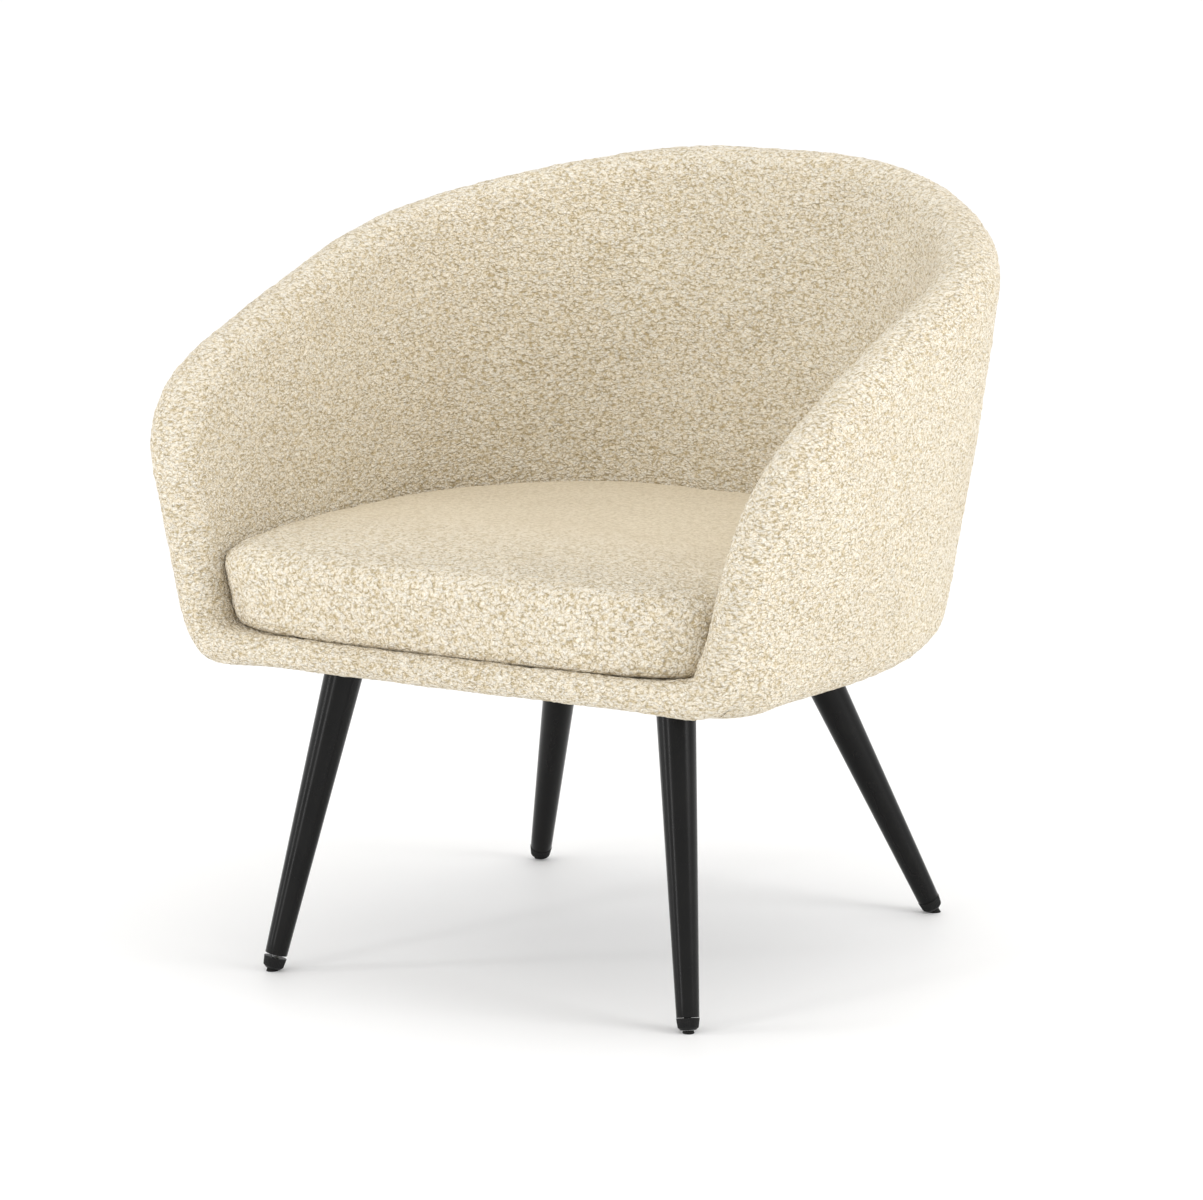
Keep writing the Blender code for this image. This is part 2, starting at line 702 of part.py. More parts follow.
def add_leg(end, side, steel, plastic, rubber, bright):
    name = f"{end}_{SIDES[side]}"
    frame = leg_matrix(end, side)
    cosine = frame.col[2].z
    sine = math.sqrt(1 - cosine**2)
    cap_foot = (CAP_CLEARANCE + CAP_SOLE_RADIUS * sine) / cosine
    cap_top = cap_foot + CAP_HEIGHT
    tube_foot = cap_top + GAP + SCREWED_OUT.get((end, side), 0)
    tube_top_z = PLATE_TOP_Z - PLATE_THICK - GAP

    def outer(s):
        return TUBE_FOOT_RADIUS + TUBE_FLARE * (s - tube_foot)

    def bore(s):
        return outer(s) - TUBE_WALL

    tube(f"leg_tube_{name}", [
        circle(outer(tube_foot), tube_foot),
        cut_ring(frame, outer, tube_top_z),
        cut_ring(frame, bore, tube_top_z),
        circle(bore(tube_foot), tube_foot),
    ], steel, frame)

    insert_radius = bore(tube_foot) - GAP
    insert_top = tube_foot + INSERT_LENGTH
    tube(f"leg_insert_{name}", [
        circle(insert_radius, tube_foot),
        circle(insert_radius, insert_top),
        circle(STUD_BORE_RADIUS, insert_top),
        circle(STUD_BORE_RADIUS, tube_foot),
    ], plastic, frame)

    socket = cap_top - STUD_IN_CAP
    loft(f"glide_cap_{name}", [
        circle(CAP_SOLE_RADIUS, cap_foot),
        circle(CAP_FOOT_RADIUS, cap_foot + CAP_CHAMFER),
        circle(CAP_TOP_RADIUS, cap_top),
        circle(STUD_BORE_RADIUS, cap_top),
        circle(STUD_BORE_RADIUS, socket),
    ], plastic, frame)
    loft(f"glide_stud_{name}", [
        circle(STUD_RADIUS, socket + GAP),
        circle(STUD_RADIUS, socket + GAP + STUD_LENGTH),
    ], bright, frame)
    loft(f"glide_pad_{name}", [
        cut_ring(frame, lambda s: PAD_RADIUS, 0),
        circle(PAD_RADIUS, cap_foot - GAP),
    ], rubber, frame)


def add_leg_plates(steel, bright):
    z_range = (PLATE_TOP_Z - PLATE_THICK, PLATE_TOP_Z)
    head_top = z_range[0] - GAP
    profile = (
        (SCREW_HEAD_RADIUS * 0.7, -SCREW_HEAD_THICK),
        (SCREW_HEAD_RADIUS, -SCREW_HEAD_THICK * 0.6),
        (SCREW_HEAD_RADIUS, 0),
        (SCREW_RADIUS, 0),
        (SCREW_RADIUS, SCREW_LENGTH - 0.003),
        (SCREW_RADIUS * 0.2, SCREW_LENGTH),
    )
    for end in LEGS:
        for side, side_name in SIDES.items():
            name = f"{end}_{side_name}"
            centre = plate_centre(end, side)
            rim = [p + centre for p in circle(PLATE_RADIUS, 0, PLATE_SIDES)]
            plate = slab(f"leg_plate_{name}", rim, z_range, steel)
            holes = screw_places(end, side)
            drill(plate, holes, SCREW_HOLE_RADIUS, (z_range[0] - 0.001, z_range[1] + 0.001))
            for i, (x, y) in enumerate(holes):
                rings = [circle(radius, z, 8) for radius, z in profile]
                place = Matrix.Translation((x, y, head_top))
                loft(f"leg_screw_{name}_{i + 1}", rings, bright, place)


def main():
    clear_scene()
    fabric = make_material("cream_boucle", (0.74, 0.66, 0.52), 0.95)
    foam = make_material("foam", (0.80, 0.74, 0.55), 0.95)
    plywood = make_material("plywood", (0.60, 0.43, 0.25), 0.70)
    wood = make_material("hardwood", (0.55, 0.38, 0.22), 0.70)
    webbing = make_material("webbing", (0.10, 0.09, 0.08), 0.85)
    cloth = make_material("black_cloth", (0.03, 0.03, 0.03), 0.90)
    felt = make_material("felt", (0.50, 0.48, 0.44), 0.95)
    steel = make_material("black_steel", (0.012, 0.012, 0.013), 0.45, 0.0)
    plastic = make_material("black_plastic", (0.015, 0.015, 0.015), 0.50)
    rubber = make_material("rubber", (0.02, 0.02, 0.02), 0.85)
    bright = make_material("zinc_steel", (0.60, 0.60, 0.62), 0.30, 1.0)

    add_covers(fabric)
    add_foam(foam)
    add_plywood(plywood)
    add_rails(wood)
    add_seat_deck(webbing, cloth, felt)
    add_dust_cover(cloth)
    add_cushion(fabric, foam, plastic)
    for end in LEGS:
        for side in SIDES:
            add_leg(end, side, steel, plastic, rubber, bright)
    add_leg_plates(steel, bright)


main()
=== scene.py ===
"""Looks of the tub armchair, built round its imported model.

Metres, +Z up, floor at z = 0. The chair faces -Y, and +X is on the right seen from the front.
"""
import json
import math

import bmesh
import bpy
import numpy as np
from mathutils import Matrix, Vector, noise
from mathutils.bvhtree import BVHTree


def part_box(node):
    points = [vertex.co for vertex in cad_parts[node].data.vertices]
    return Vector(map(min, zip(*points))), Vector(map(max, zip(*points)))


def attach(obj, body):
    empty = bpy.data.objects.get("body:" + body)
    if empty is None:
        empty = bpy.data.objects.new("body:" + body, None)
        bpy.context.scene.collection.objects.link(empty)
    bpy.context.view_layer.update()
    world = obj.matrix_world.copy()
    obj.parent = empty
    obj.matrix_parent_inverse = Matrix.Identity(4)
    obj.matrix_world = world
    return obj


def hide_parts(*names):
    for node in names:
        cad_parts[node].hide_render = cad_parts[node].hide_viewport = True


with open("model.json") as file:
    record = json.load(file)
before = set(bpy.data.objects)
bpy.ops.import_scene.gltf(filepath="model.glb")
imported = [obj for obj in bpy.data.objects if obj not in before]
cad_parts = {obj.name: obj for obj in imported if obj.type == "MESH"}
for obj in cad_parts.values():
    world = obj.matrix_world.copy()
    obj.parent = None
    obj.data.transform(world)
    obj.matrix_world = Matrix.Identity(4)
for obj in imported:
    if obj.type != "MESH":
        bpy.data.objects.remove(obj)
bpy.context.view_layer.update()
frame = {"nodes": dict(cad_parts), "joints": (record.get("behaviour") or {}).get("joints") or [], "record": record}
NODES = frame["nodes"]
LEGS = ("front_left", "front_right", "rear_left", "rear_right")

# Shell, as in the CAD: half of each closed curve, from the middle of the back to the middle of
# the front, as control points of a uniform cubic B-spline that is mirrored in X.
RIM = (
    (0.000, 0.311, 0.690),
    (0.143, 0.341, 0.685),
    (0.328, 0.126, 0.641),
    (0.318, -0.027, 0.599),
    (0.333, -0.251, 0.533),
    (0.301, -0.301, 0.474),
    (0.269, -0.288, 0.308),
    (0.236, -0.327, 0.322),
    (0.000, -0.320, 0.318),
)
BASE_Z = 0.296
BASE_RADIUS = 0.043
BASE_LINE_Z = BASE_Z + BASE_RADIUS
BASE = (
    (0.000, 0.240, BASE_LINE_Z),
    (0.118, 0.239, BASE_LINE_Z),
    (0.213, 0.170, BASE_LINE_Z),
    (0.278, 0.048, BASE_LINE_Z),
    (0.290, -0.094, BASE_LINE_Z),
    (0.264, -0.220, BASE_LINE_Z),
    (0.276, -0.278, BASE_LINE_Z),
    (0.183, -0.280, BASE_LINE_Z),
    (0.000, -0.284, BASE_LINE_Z),
)
WELL_Z = 0.3288
WELL = (
    (0.000, 0.183, WELL_Z),
    (0.105, 0.183, WELL_Z),
    (0.190, 0.125, WELL_Z),
    (0.262, 0.030, WELL_Z),
    (0.262, -0.090, WELL_Z),
    (0.252, -0.205, WELL_Z),
    (0.250, -0.262, WELL_Z),
    (0.186, -0.284, WELL_Z),
    (0.000, -0.287, WELL_Z),
)
CENTRE_Y = -0.0085
ROLL_RADIUS = ((0, 2, 4, 5, 6, 7, 8), (0.032, 0.030, 0.030, 0.023, 0.023, 0.014, 0.014))
WALL_BULGE = ((0, 3, 6, 8), (0.008, 0.005, 0.0, 0.0))
FRONT_T = len(RIM) - 1
SEAM_SHARE = 0.25
TURN_UNDER = 0.026
UP = np.array((0.0, 0.0, 1.0))

# Mesh sizes of the covers.
ROUND_STEPS = 680
OUTER_ROWS = 134
INNER_ROWS = 128
LINING_ROWS = 8
COVER_THICK = 0.0020

LINING_SHARP = math.radians(60)
TURNED_SHARP = math.radians(50)

# Pile of the looped fabric: height and size of its tufts and of its larger unevenness.
TUFT_HEIGHT = 0.0010
TUFT_SIZE = 0.0068
FINE_TUFT_SHARE = (0.55, 0.7)
UNEVEN_HEIGHT = 0.0012
UNEVEN_SIZE = 0.045
# The pile starts this far above the underside, and reaches full height over the second length.
PILE_START = 0.0015
PILE_RAMP = 0.006


# ---------------------------------------------------------------- shell geometry

def spline(points, t):
    """Places and directions at the array t on the closed B-spline that mirrors the half."""
    half = np.array(points, float)
    full = np.vstack((half, (half * (-1, 1, 1))[-2:0:-1]))
    count = len(full)
    i = np.floor(t).astype(int)
    u = (t - i)[:, None]
    near = [full[(i - 1 + k) % count] for k in range(4)]
    weights = ((1 - u) ** 3, 3 * u**3 - 6 * u**2 + 4, -3 * u**3 + 3 * u**2 + 3 * u + 1, u**3)
    slopes = (-((1 - u) ** 2), 3 * u**2 - 4 * u, -3 * u**2 + 2 * u + 1, u**2)
    place = sum(w * p for w, p in zip(weights, near)) / 6 + (0, CENTRE_Y, 0)
    way = sum(w * p for w, p in zip(slopes, near))
    return place, unit(way)


def unit(v):
    return v / np.linalg.norm(v, axis=-1, keepdims=True)


def dot(a, b):
    return (a * b).sum(-1, keepdims=True)


def even_stations(count):
    """Values of t once round the shell, about evenly spaced along its walls."""
    t = np.linspace(0, 2 * FRONT_T, 4001)
    rim, base = spline(RIM, t)[0], spline(BASE, t)[0]
    steps = sum(np.linalg.norm(np.diff(line, axis=0), axis=1) for line in (rim, base))
    along = np.concatenate(((0,), np.cumsum(steps)))
    return np.interp(np.linspace(0, along[-1], count, endpoint=False), along, t)


class Stations:
    """Cross sections of the shell at the values t, the same as in the CAD but finer."""

    def __init__(self, t):
        fold = np.where(t > FRONT_T, 2 * FRONT_T - t, t)
        self.rim, rim_way = spline(RIM, t)
        self.base, base_way = spline(BASE, t)
        self.well = spline(WELL, t)[0]
        self.roll = np.interp(fold, *ROLL_RADIUS)[:, None]
        self.bulge = np.interp(fold, *WALL_BULGE)[:, None]
        way = unit(rim_way + base_way)
        out = unit(np.cross(UP, way))
        lift = np.cross(way, out)
        self.rim_out = unit(out - dot(out, rim_way) * rim_way)
        self.rim_up = np.cross(rim_way, self.rim_out)
        self.base_out = unit(np.cross(UP, base_way))
        fall = self.base - self.rim
        across, along = dot(fall, out), dot(fall, lift)
        sine = np.clip((self.roll - BASE_RADIUS) / np.hypot(across, along), -0.95, 0.95)
        self.outer_angle = np.arctan2(across, -along) - np.arcsin(sine)
        drop = self.well - self.rim
        across, along = dot(drop, out), dot(drop, lift)
        reach = np.maximum(np.hypot(across, along), self.roll * 1.02)
        turn = np.arctan2(along, across) - np.arccos(self.roll / reach)
        self.inner_angle = turn % (2 * math.pi)
        self.seam_angle = self.outer_angle + SEAM_SHARE * (self.inner_angle - self.outer_angle)

    def roll_point(self, angle, depth):
        ray = np.cos(angle) * self.rim_out + np.sin(angle) * self.rim_up
        return self.rim + (self.roll - depth) * ray

    def base_point(self, angle, depth):
        ray = np.cos(angle) * self.base_out + np.sin(angle) * UP
        return self.base + (BASE_RADIUS - depth) * ray

    def wall_point(self, share, depth):
        out = unit(self.rim_out + (self.base_out - self.rim_out) * share)
        lift = self.rim_up + (UP - self.rim_up) * share
        lift = unit(lift - dot(lift, out) * out)
        ray = np.cos(self.outer_angle) * out + np.sin(self.outer_angle) * lift
        radius = self.roll + (BASE_RADIUS - self.roll) * share - depth
        swell = 4 * share * (1 - share) * self.bulge
        return self.rim + (self.base - self.rim) * share + radius * ray + swell * out

    def well_point(self, depth):
        ray = np.cos(self.inner_angle) * self.base_out + np.sin(self.inner_angle) * UP
        return self.well - depth * ray

    def outside(self, depth):
        """From under the base, round its edge, up the wall and on to the roll at the seam."""
        under = self.base - TURN_UNDER * self.base_out
        under = under * (1, 1, 0) + (0, 0, BASE_Z + depth)
        down = -math.pi / 2
        path = [under + (self.base_point(down, depth) - under) * s for s in np.linspace(0, 1, 5)]
        for s in np.linspace(0, 1, 13)[1:]:
            path.append(self.base_point(down + (self.outer_angle - down) * s, depth))
        path += [self.wall_point(1 - s, depth) for s in np.linspace(0, 1, 25)[1:]]
        for s in np.linspace(0, 1, 9)[1:]:
            turn = self.outer_angle + (self.seam_angle - self.outer_angle) * s
            path.append(self.roll_point(turn, depth))
        return np.stack(path)

    def inside(self, depth):
        """From the seam over the roll and down the inner wall to the seat well."""
        path = []
        for s in np.linspace(0, 1, 21):
            turn = self.seam_angle + (self.inner_angle - self.seam_angle) * s
            path.append(self.roll_point(turn, depth))
        top, foot = path[-1], self.well_point(depth)
        path += [top + (foot - top) * s for s in np.linspace(0, 1, 21)[1:]]
        return np.stack(path)


def even_rows(path, rows):
    """The same lines with evenly spaced rows. The path's axes are row, station and x y z."""
    steps = np.linalg.norm(np.diff(path, axis=0), axis=2)
    along = np.vstack((np.zeros(path.shape[1]), np.cumsum(steps, axis=0)))
    made = np.empty((rows, *path.shape[1:]))
    for k in range(path.shape[1]):
        at = np.linspace(0, along[-1, k], rows)
        for axis in range(3):
            made[:, k, axis] = np.interp(at, along[:, k], path[:, k, axis])
    return made


def softened(grid, rounds):
    """The grid with each point drawn towards its neighbours. Its first and last rows stay."""
    for _ in range(rounds):
        beside = (np.roll(grid, 1, 1) + np.roll(grid, -1, 1)) / 2
        grid = grid * 0.5 + beside * 0.5
        grid[1:-1] = grid[1:-1] * 0.5 + (grid[2:] + grid[:-2]) * 0.25
    return grid


def grid_normals(grid, sign):
    """Unit normals of a grid that closes on itself along its second axis."""
    round_way = np.roll(grid, -1, 1) - np.roll(grid, 1, 1)
    return sign * unit(np.cross(round_way, np.gradient(grid, axis=0)))


def noise_at(points, size, seed):
    """Smooth noise from about -1 to 1, with lumps of that size."""
    flat = points.reshape(-1, 3) / size + seed
    values = np.fromiter((noise.noise(p) for p in flat.tolist()), float, len(flat))
    return values.reshape(*points.shape[:-1], 1)


def pile(points):
    """Height of the fabric's pile: larger unevenness with tufts of two sizes on it."""
    fine_size, fine_height = FINE_TUFT_SHARE
    uneven = noise_at(points, UNEVEN_SIZE, 3.7) * UNEVEN_HEIGHT
    tufts = noise_at(points, TUFT_SIZE, 11.3) * TUFT_HEIGHT
    fine = noise_at(points, TUFT_SIZE * fine_size, 23.9) * TUFT_HEIGHT * fine_height
    return uneven + (tufts + fine)


def mesh_object(name, points, faces, materials=()):
    mesh = bpy.data.meshes.new(name)
    mesh.from_pydata(np.asarray(points, float).reshape(-1, 3).tolist(), [], faces)
    mesh.validate()
    mesh.shade_smooth()
    for material in materials:
        mesh.materials.append(material)
    item = bpy.data.objects.new(name, mesh)
    bpy.context.scene.collection.objects.link(item)
    return item


def band_faces(rows, count):
    """Quads between rows of a grid that closes on itself, and from the last row to the first."""
    faces = []
    for r in range(rows):
        a, b = r * count, (r + 1) % rows * count
        for k in range(count):
            n = (k + 1) % count
            faces.append((a + k, a + n, b + n, b + k))
    return faces


def capped_faces(rows, count):
    """Quads between rows of such a grid, with its first and last row closed by a face each."""
    faces = [f for f in band_faces(rows, count) if max(f) - min(f) < 2 * count]
    first, last = range(count), range((rows - 1) * count, rows * count)
    return faces + [tuple(first)[::-1], tuple(last)]


def cover_band(name, face, lining, material, node):
    """A closed band of fabric: its pile side, then its lining back to the first row."""
    rows = np.concatenate((face, lining[::-1]))
    item = mesh_object(name, rows, band_faces(len(rows), rows.shape[1]), (material,))
    fix_normals(item)
    item.data.set_sharp_from_angle(angle=LINING_SHARP)
    place_piece(item, node, "root")


def place_piece(item, node, body):
    """Show this piece in place of a CAD node, on a body."""
    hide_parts(node)
    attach(item, body)


def fix_normals(item):
    """Turn every face outwards and shade smoothly."""
    build = bmesh.new()
    build.from_mesh(item.data)
    bmesh.ops.recalc_face_normals(build, faces=build.faces)
    build.to_mesh(item.data)
    build.free()
    item.data.shade_smooth()


# ---------------------------------------------------------------- materials

def new_material(name, color=(0.5, 0.5, 0.5), roughness=0.6, metallic=0.0):
    material = bpy.data.materials.new(name)
    material.use_nodes = True
    shader = material.node_tree.nodes["Principled BSDF"]
    shader.inputs["Base Color"].default_value = (*color, 1)
    shader.inputs["Roughness"].default_value = roughness
    shader.inputs["Metallic"].default_value = metallic
    return material, shader, Wiring(material.node_tree)


class Wiring:
    """Short calls to make and join shader nodes. A value is a number or another node's output."""

    def __init__(self, tree):
        self.tree = tree

    def add(self, kind, values=None, **settings):
        node = self.tree.nodes.new("ShaderNode" + kind)
        for key, value in settings.items():
            setattr(node, key, value)
        for key, value in (values or {}).items():
            self.give(node.inputs[key], value)
        return node

    def give(self, socket, value):
        if hasattr(value, "is_output"):
            self.tree.links.new(value, socket)
        else:
            socket.default_value = value

    def place(self, scale=(1, 1, 1)):
        """The mesh's own coordinates in metres, stretched."""
        source = self.add("TexCoord").outputs["Object"]
        return self.add("Mapping", {"Vector": source, "Scale": scale}).outputs["Vector"]

    def noise(self, vector, scale, detail=2.0, rough=0.5, distortion=0.0):
        values = {"Vector": vector, "Scale": scale, "Detail": detail,
                  "Roughness": rough, "Distortion": distortion}
        return self.add("TexNoise", values).outputs["Fac"]

    def cells(self, vector, scale):
        values = {"Vector": vector, "Scale": scale}
        return self.add("TexVoronoi", values, feature="F1").outputs["Distance"]

    def span(self, value, low, high, to_low=0.0, to_high=1.0):
        values = {"Value": value, "From Min": low, "From Max": high,
                  "To Min": to_low, "To Max": to_high}
        return self.add("MapRange", values).outputs["Result"]

    def math(self, operation, a, b=0.0):
        return self.add("Math", {0: a, 1: b}, operation=operation).outputs["Value"]

    def ramp(self, value, *stops):
        node = self.add("ValToRGB", {"Fac": value})
        band = node.color_ramp
        while len(band.elements) < len(stops):
            band.elements.new(0.5)
        for element, (place, color) in zip(band.elements, stops):
            element.position = place
            element.color = (*color, 1)
        return node.outputs["Color"]

    def mix(self, share, a, b, kind="MIX"):
        node = self.add("Mix", data_type="RGBA", blend_type=kind)
        for key, value in ((0, share), (6, a), (7, b)):
            self.give(node.inputs[key], value)
        return node.outputs[2]

    def bump(self, height, strength, distance):
        values = {"Height": height, "Strength": strength, "Distance": distance}
        return self.add("Bump", values).outputs["Normal"]

    def join(self, output, socket):
        self.tree.links.new(output, socket)


# Pile colours from pit to loop top: painted shade in the pits between the loops, the yarn's cream, then painted
# light on the loop tops.
BOUCLE_PIT_SHADE = (0.45, 0.36, 0.21)
BOUCLE_MID = (0.78, 0.69, 0.53)
BOUCLE_LIGHT = (0.91, 0.86, 0.75)
# Noise and cell scales of the pile, per metre, how far its loops wander, and its bump's depth.
LOOP_SCALE = 290.0
FUZZ_SCALE = 760.0
CLUMP_SCALE = 190.0
WANDER_SCALE = 170.0
WANDER = 0.0056
LOOP_DEPTH = 0.0020


def boucle_material(name, stretch, flat_top=False):
    """Looped pile: loops a few millimetres across, with painted shade in the pits between them and painted light
    on the loop tops.

    Where flat_top is set, the level part of the seat gets a weaker bump, as its pile is pressed flat, and a
    narrower tone range that is darker on average, with less of the painted pit shade.
    """
    material, shader, wire = new_material(name)
    place = wire.place(stretch)
    values = {"Vector": place, "Scale": WANDER_SCALE, "Detail": 1.0}
    warp = wire.add("TexNoise", values).outputs["Color"]
    bend = wire.add("VectorMath", {0: warp, 1: (0.5, 0.5, 0.5)}, operation="SUBTRACT")
    bend = wire.add("VectorMath", {0: bend.outputs[0], "Scale": WANDER}, operation="SCALE")
    bent = wire.add("VectorMath", {0: place, 1: bend.outputs[0]}, operation="ADD").outputs[0]
    rounds = wire.span(wire.cells(bent, LOOP_SCALE), 0.15, 0.80, 1.0, 0.0)
    loops = wire.math("MULTIPLY", rounds, 0.9)
    fuzz = wire.noise(bent, FUZZ_SCALE, 1.5, 0.6)
    clumps = wire.noise(place, CLUMP_SCALE, 1.0, 0.5)
    broad = wire.noise(wire.place(), 7.0, 2.0, 0.5)
    height = wire.math("ADD", loops, wire.span(fuzz, 0.3, 0.7, 0.0, 0.75))
    height = wire.math("ADD", height, wire.span(clumps, 0.3, 0.7, 0.0, 0.45))
    relief = wire.math("ADD", loops, wire.span(clumps, 0.3, 0.7, 0.0, 0.6))
    # The tone runs from painted shade in the pits to painted light on the loop tops.
    tone = wire.span(height, 0.46, 1.50)
    strength = 1.0
    if flat_top:
        up = wire.add("SeparateXYZ", {0: wire.add("TexCoord").outputs["Normal"]}).outputs["Z"]
        depth = wire.add("SeparateXYZ", {0: wire.place()}).outputs["Y"]
        flat = wire.math("MULTIPLY", wire.span(up, 0.80, 0.97), wire.span(depth, -0.30, -0.10))
        # On the level part of the seat the tone is squeezed into a narrower, darker range: less contrast of the
        # painted pit shade, and darker overall.
        pressed = wire.span(tone, 0.0, 1.0, 0.22, 0.50)
        tone = wire.add("Mix", {0: flat, 2: tone, 3: pressed}).outputs[0]
        strength = wire.span(flat, 0.0, 1.0, 1.0, 0.30)
    color = wire.ramp(tone, (0.0, BOUCLE_PIT_SHADE), (0.45, BOUCLE_MID), (1.0, BOUCLE_LIGHT))
    drift = wire.ramp(broad, (0.3, (0.95, 0.94, 0.93)), (0.7, (1.0, 1.0, 1.0)))
    wire.join(wire.mix(1.0, color, drift, "MULTIPLY"), shader.inputs["Base Color"])
    wire.join(wire.span(fuzz, 0.3, 0.7, 0.86, 0.98), shader.inputs["Roughness"])
    wire.join(wire.bump(relief, strength, LOOP_DEPTH), shader.inputs["Normal"])
    shader.inputs["Specular IOR Level"].default_value = 0.12
    shader.inputs["Sheen Weight"].default_value = 0.25
    shader.inputs["Sheen Roughness"].default_value = 0.5
    shader.inputs["Sheen Tint"].default_value = (1.0, 0.95, 0.86, 1)
    return material


def painted_steel(name):
    """Satin black powder coat with its fine orange peel."""
    material, shader, wire = new_material(name, (0.004, 0.004, 0.004), 0.28)
    shader.inputs["Specular IOR Level"].default_value = 0.17
    place = wire.place()
    peel = wire.noise(place, 900.0, 2.0, 0.5)
    patch = wire.noise(place, 22.0, 3.0, 0.55)
    color = wire.ramp(patch, (0.2, (0.0035, 0.0035, 0.0035)), (0.8, (0.007, 0.0068, 0.0065)))
    wire.join(color, shader.inputs["Base Color"])
    wire.join(wire.span(patch, 0.2, 0.8, 0.20, 0.26), shader.inputs["Roughness"])
    wire.join(wire.bump(peel, 0.10, 0.0003), shader.inputs["Normal"])
    return material


def speckled(name, dark, light, roughness, grain, bump_size, metallic=0.0):
    """A moulded or cast surface: faint mottling and a fine grain."""
    material, shader, wire = new_material(name, light, roughness, metallic)
    place = wire.place()
    fine = wire.noise(place, grain, 3.0, 0.6)
    broad = wire.noise(place, grain / 14, 2.0, 0.5)
    wire.join(wire.ramp(broad, (0.25, dark), (0.75, light)), shader.inputs["Base Color"])
    wire.join(wire.span(fine, 0.3, 0.7, roughness - 0.06, roughness + 0.06),
              shader.inputs["Roughness"])
    wire.join(wire.bump(fine, 0.4, bump_size), shader.inputs["Normal"])
    if not metallic:
        shader.inputs["Specular IOR Level"].default_value = 0.2
    return material


def wood(name, dark, light, along, rings):
    """Planed wood with its grain along one axis."""
    material, shader, wire = new_material(name, light, 0.55)
    scale = [rings] * 3
    scale["XYZ".index(along)] = rings / 14
    place = wire.place(scale)
    bands = wire.noise(place, 1.0, 4.0, 0.6, 0.6)
    pores = wire.noise(wire.place([s * 9 for s in scale]), 1.0, 2.0, 0.5)
    color = wire.ramp(bands, (0.3, dark), (0.55, light), (0.75, dark))
    pits = wire.ramp(pores, (0.35, (0.75, 0.72, 0.70)), (0.5, (1, 1, 1)))
    wire.join(wire.mix(1.0, color, pits, "MULTIPLY"), shader.inputs["Base Color"])
    wire.join(wire.span(bands, 0.3, 0.7, 0.48, 0.65), shader.inputs["Roughness"])
    wire.join(wire.bump(pores, 0.3, 0.0004), shader.inputs["Normal"])
    return material


def woven(name, dark, light, pitch):
    """Plain weave in x and y: two sets of ribs that pass over each other."""
    material, shader, wire = new_material(name, light, 0.85)
    place = wire.place()
    ribs = []
    for direction in ("X", "Y"):
        values = {"Vector": place, "Scale": 0.314 / pitch, "Distortion": 0.4,
                  "Detail": 1.0, "Detail Scale": 3.0}
        ribs.append(wire.add("TexWave", values, bands_direction=direction).outputs["Fac"])
    weave = wire.math("MULTIPLY", *ribs)
    fluff = wire.noise(place, 1.2 / pitch, 3.0, 0.6)
    height = wire.math("ADD", weave, wire.math("MULTIPLY", fluff, 0.5))
    wire.join(wire.ramp(height, (0.15, dark), (1.0, light)), shader.inputs["Base Color"])
    wire.join(wire.span(fluff, 0.3, 0.7, 0.77, 0.93), shader.inputs["Roughness"])
    wire.join(wire.bump(height, 0.7, 0.0004), shader.inputs["Normal"])
    return material


def fibrous(name, dark, light, grain, bump_size):
    """Non-woven cloth, felt or foam: random fibres or cells."""
    material, shader, wire = new_material(name, light, 0.95)
    place = wire.place()
    cells = wire.cells(place, grain)
    fine = wire.noise(place, grain * 2.2, 3.0, 0.65, 0.5)
    height = wire.math("ADD", cells, fine)
    wire.join(wire.ramp(height, (0.4, dark), (1.1, light)), shader.inputs["Base Color"])
    wire.join(wire.span(fine, 0.3, 0.7, 0.88, 1.0), shader.inputs["Roughness"])
    wire.join(wire.bump(height, 0.6, bump_size), shader.inputs["Normal"])
    return material


BOUCLE = boucle_material("boucle_pile", (1, 1, 1.5))
BOUCLE_SEAT = boucle_material("boucle_seat", (1, 1, 1.15), flat_top=True)
STEEL = painted_steel("leg_powder_coat")
PLASTIC = speckled("glide_plastic", (0.004, 0.004, 0.004), (0.008, 0.008, 0.008),
                   0.40, 900, 0.0001)
RUBBER = speckled("pad_rubber", (0.006, 0.006, 0.005), (0.011, 0.010, 0.010),
                  0.75, 1400, 0.0001)
ZINC = speckled("zinc_plate", (0.52, 0.52, 0.50), (0.70, 0.70, 0.71),
                0.28, 1500, 0.00004, 1.0)
PLYWOOD = wood("birch_plywood", (0.46, 0.31, 0.17), (0.63, 0.47, 0.29), "Z", 60)
HARDWOOD = wood("beech_rail", (0.36, 0.22, 0.12), (0.53, 0.36, 0.21), "X", 70)
WEBBING = woven("elastic_webbing", (0.008, 0.008, 0.008), (0.035, 0.033, 0.030), 0.0022)
BLACK_CLOTH = fibrous("black_nonwoven", (0.006, 0.006, 0.006), (0.026, 0.026, 0.027), 700, 0.0003)
FELT = fibrous("grey_felt", (0.20, 0.19, 0.17), (0.36, 0.34, 0.31), 420, 0.0006)
FOAM = fibrous("seat_foam", (0.46, 0.38, 0.20), (0.80, 0.72, 0.52), 900, 0.0006)
ZIP_TAPE = woven("zip_tape", (0.36, 0.30, 0.19), (0.62, 0.54, 0.40), 0.0009)


# ---------------------------------------------------------------- shell covers

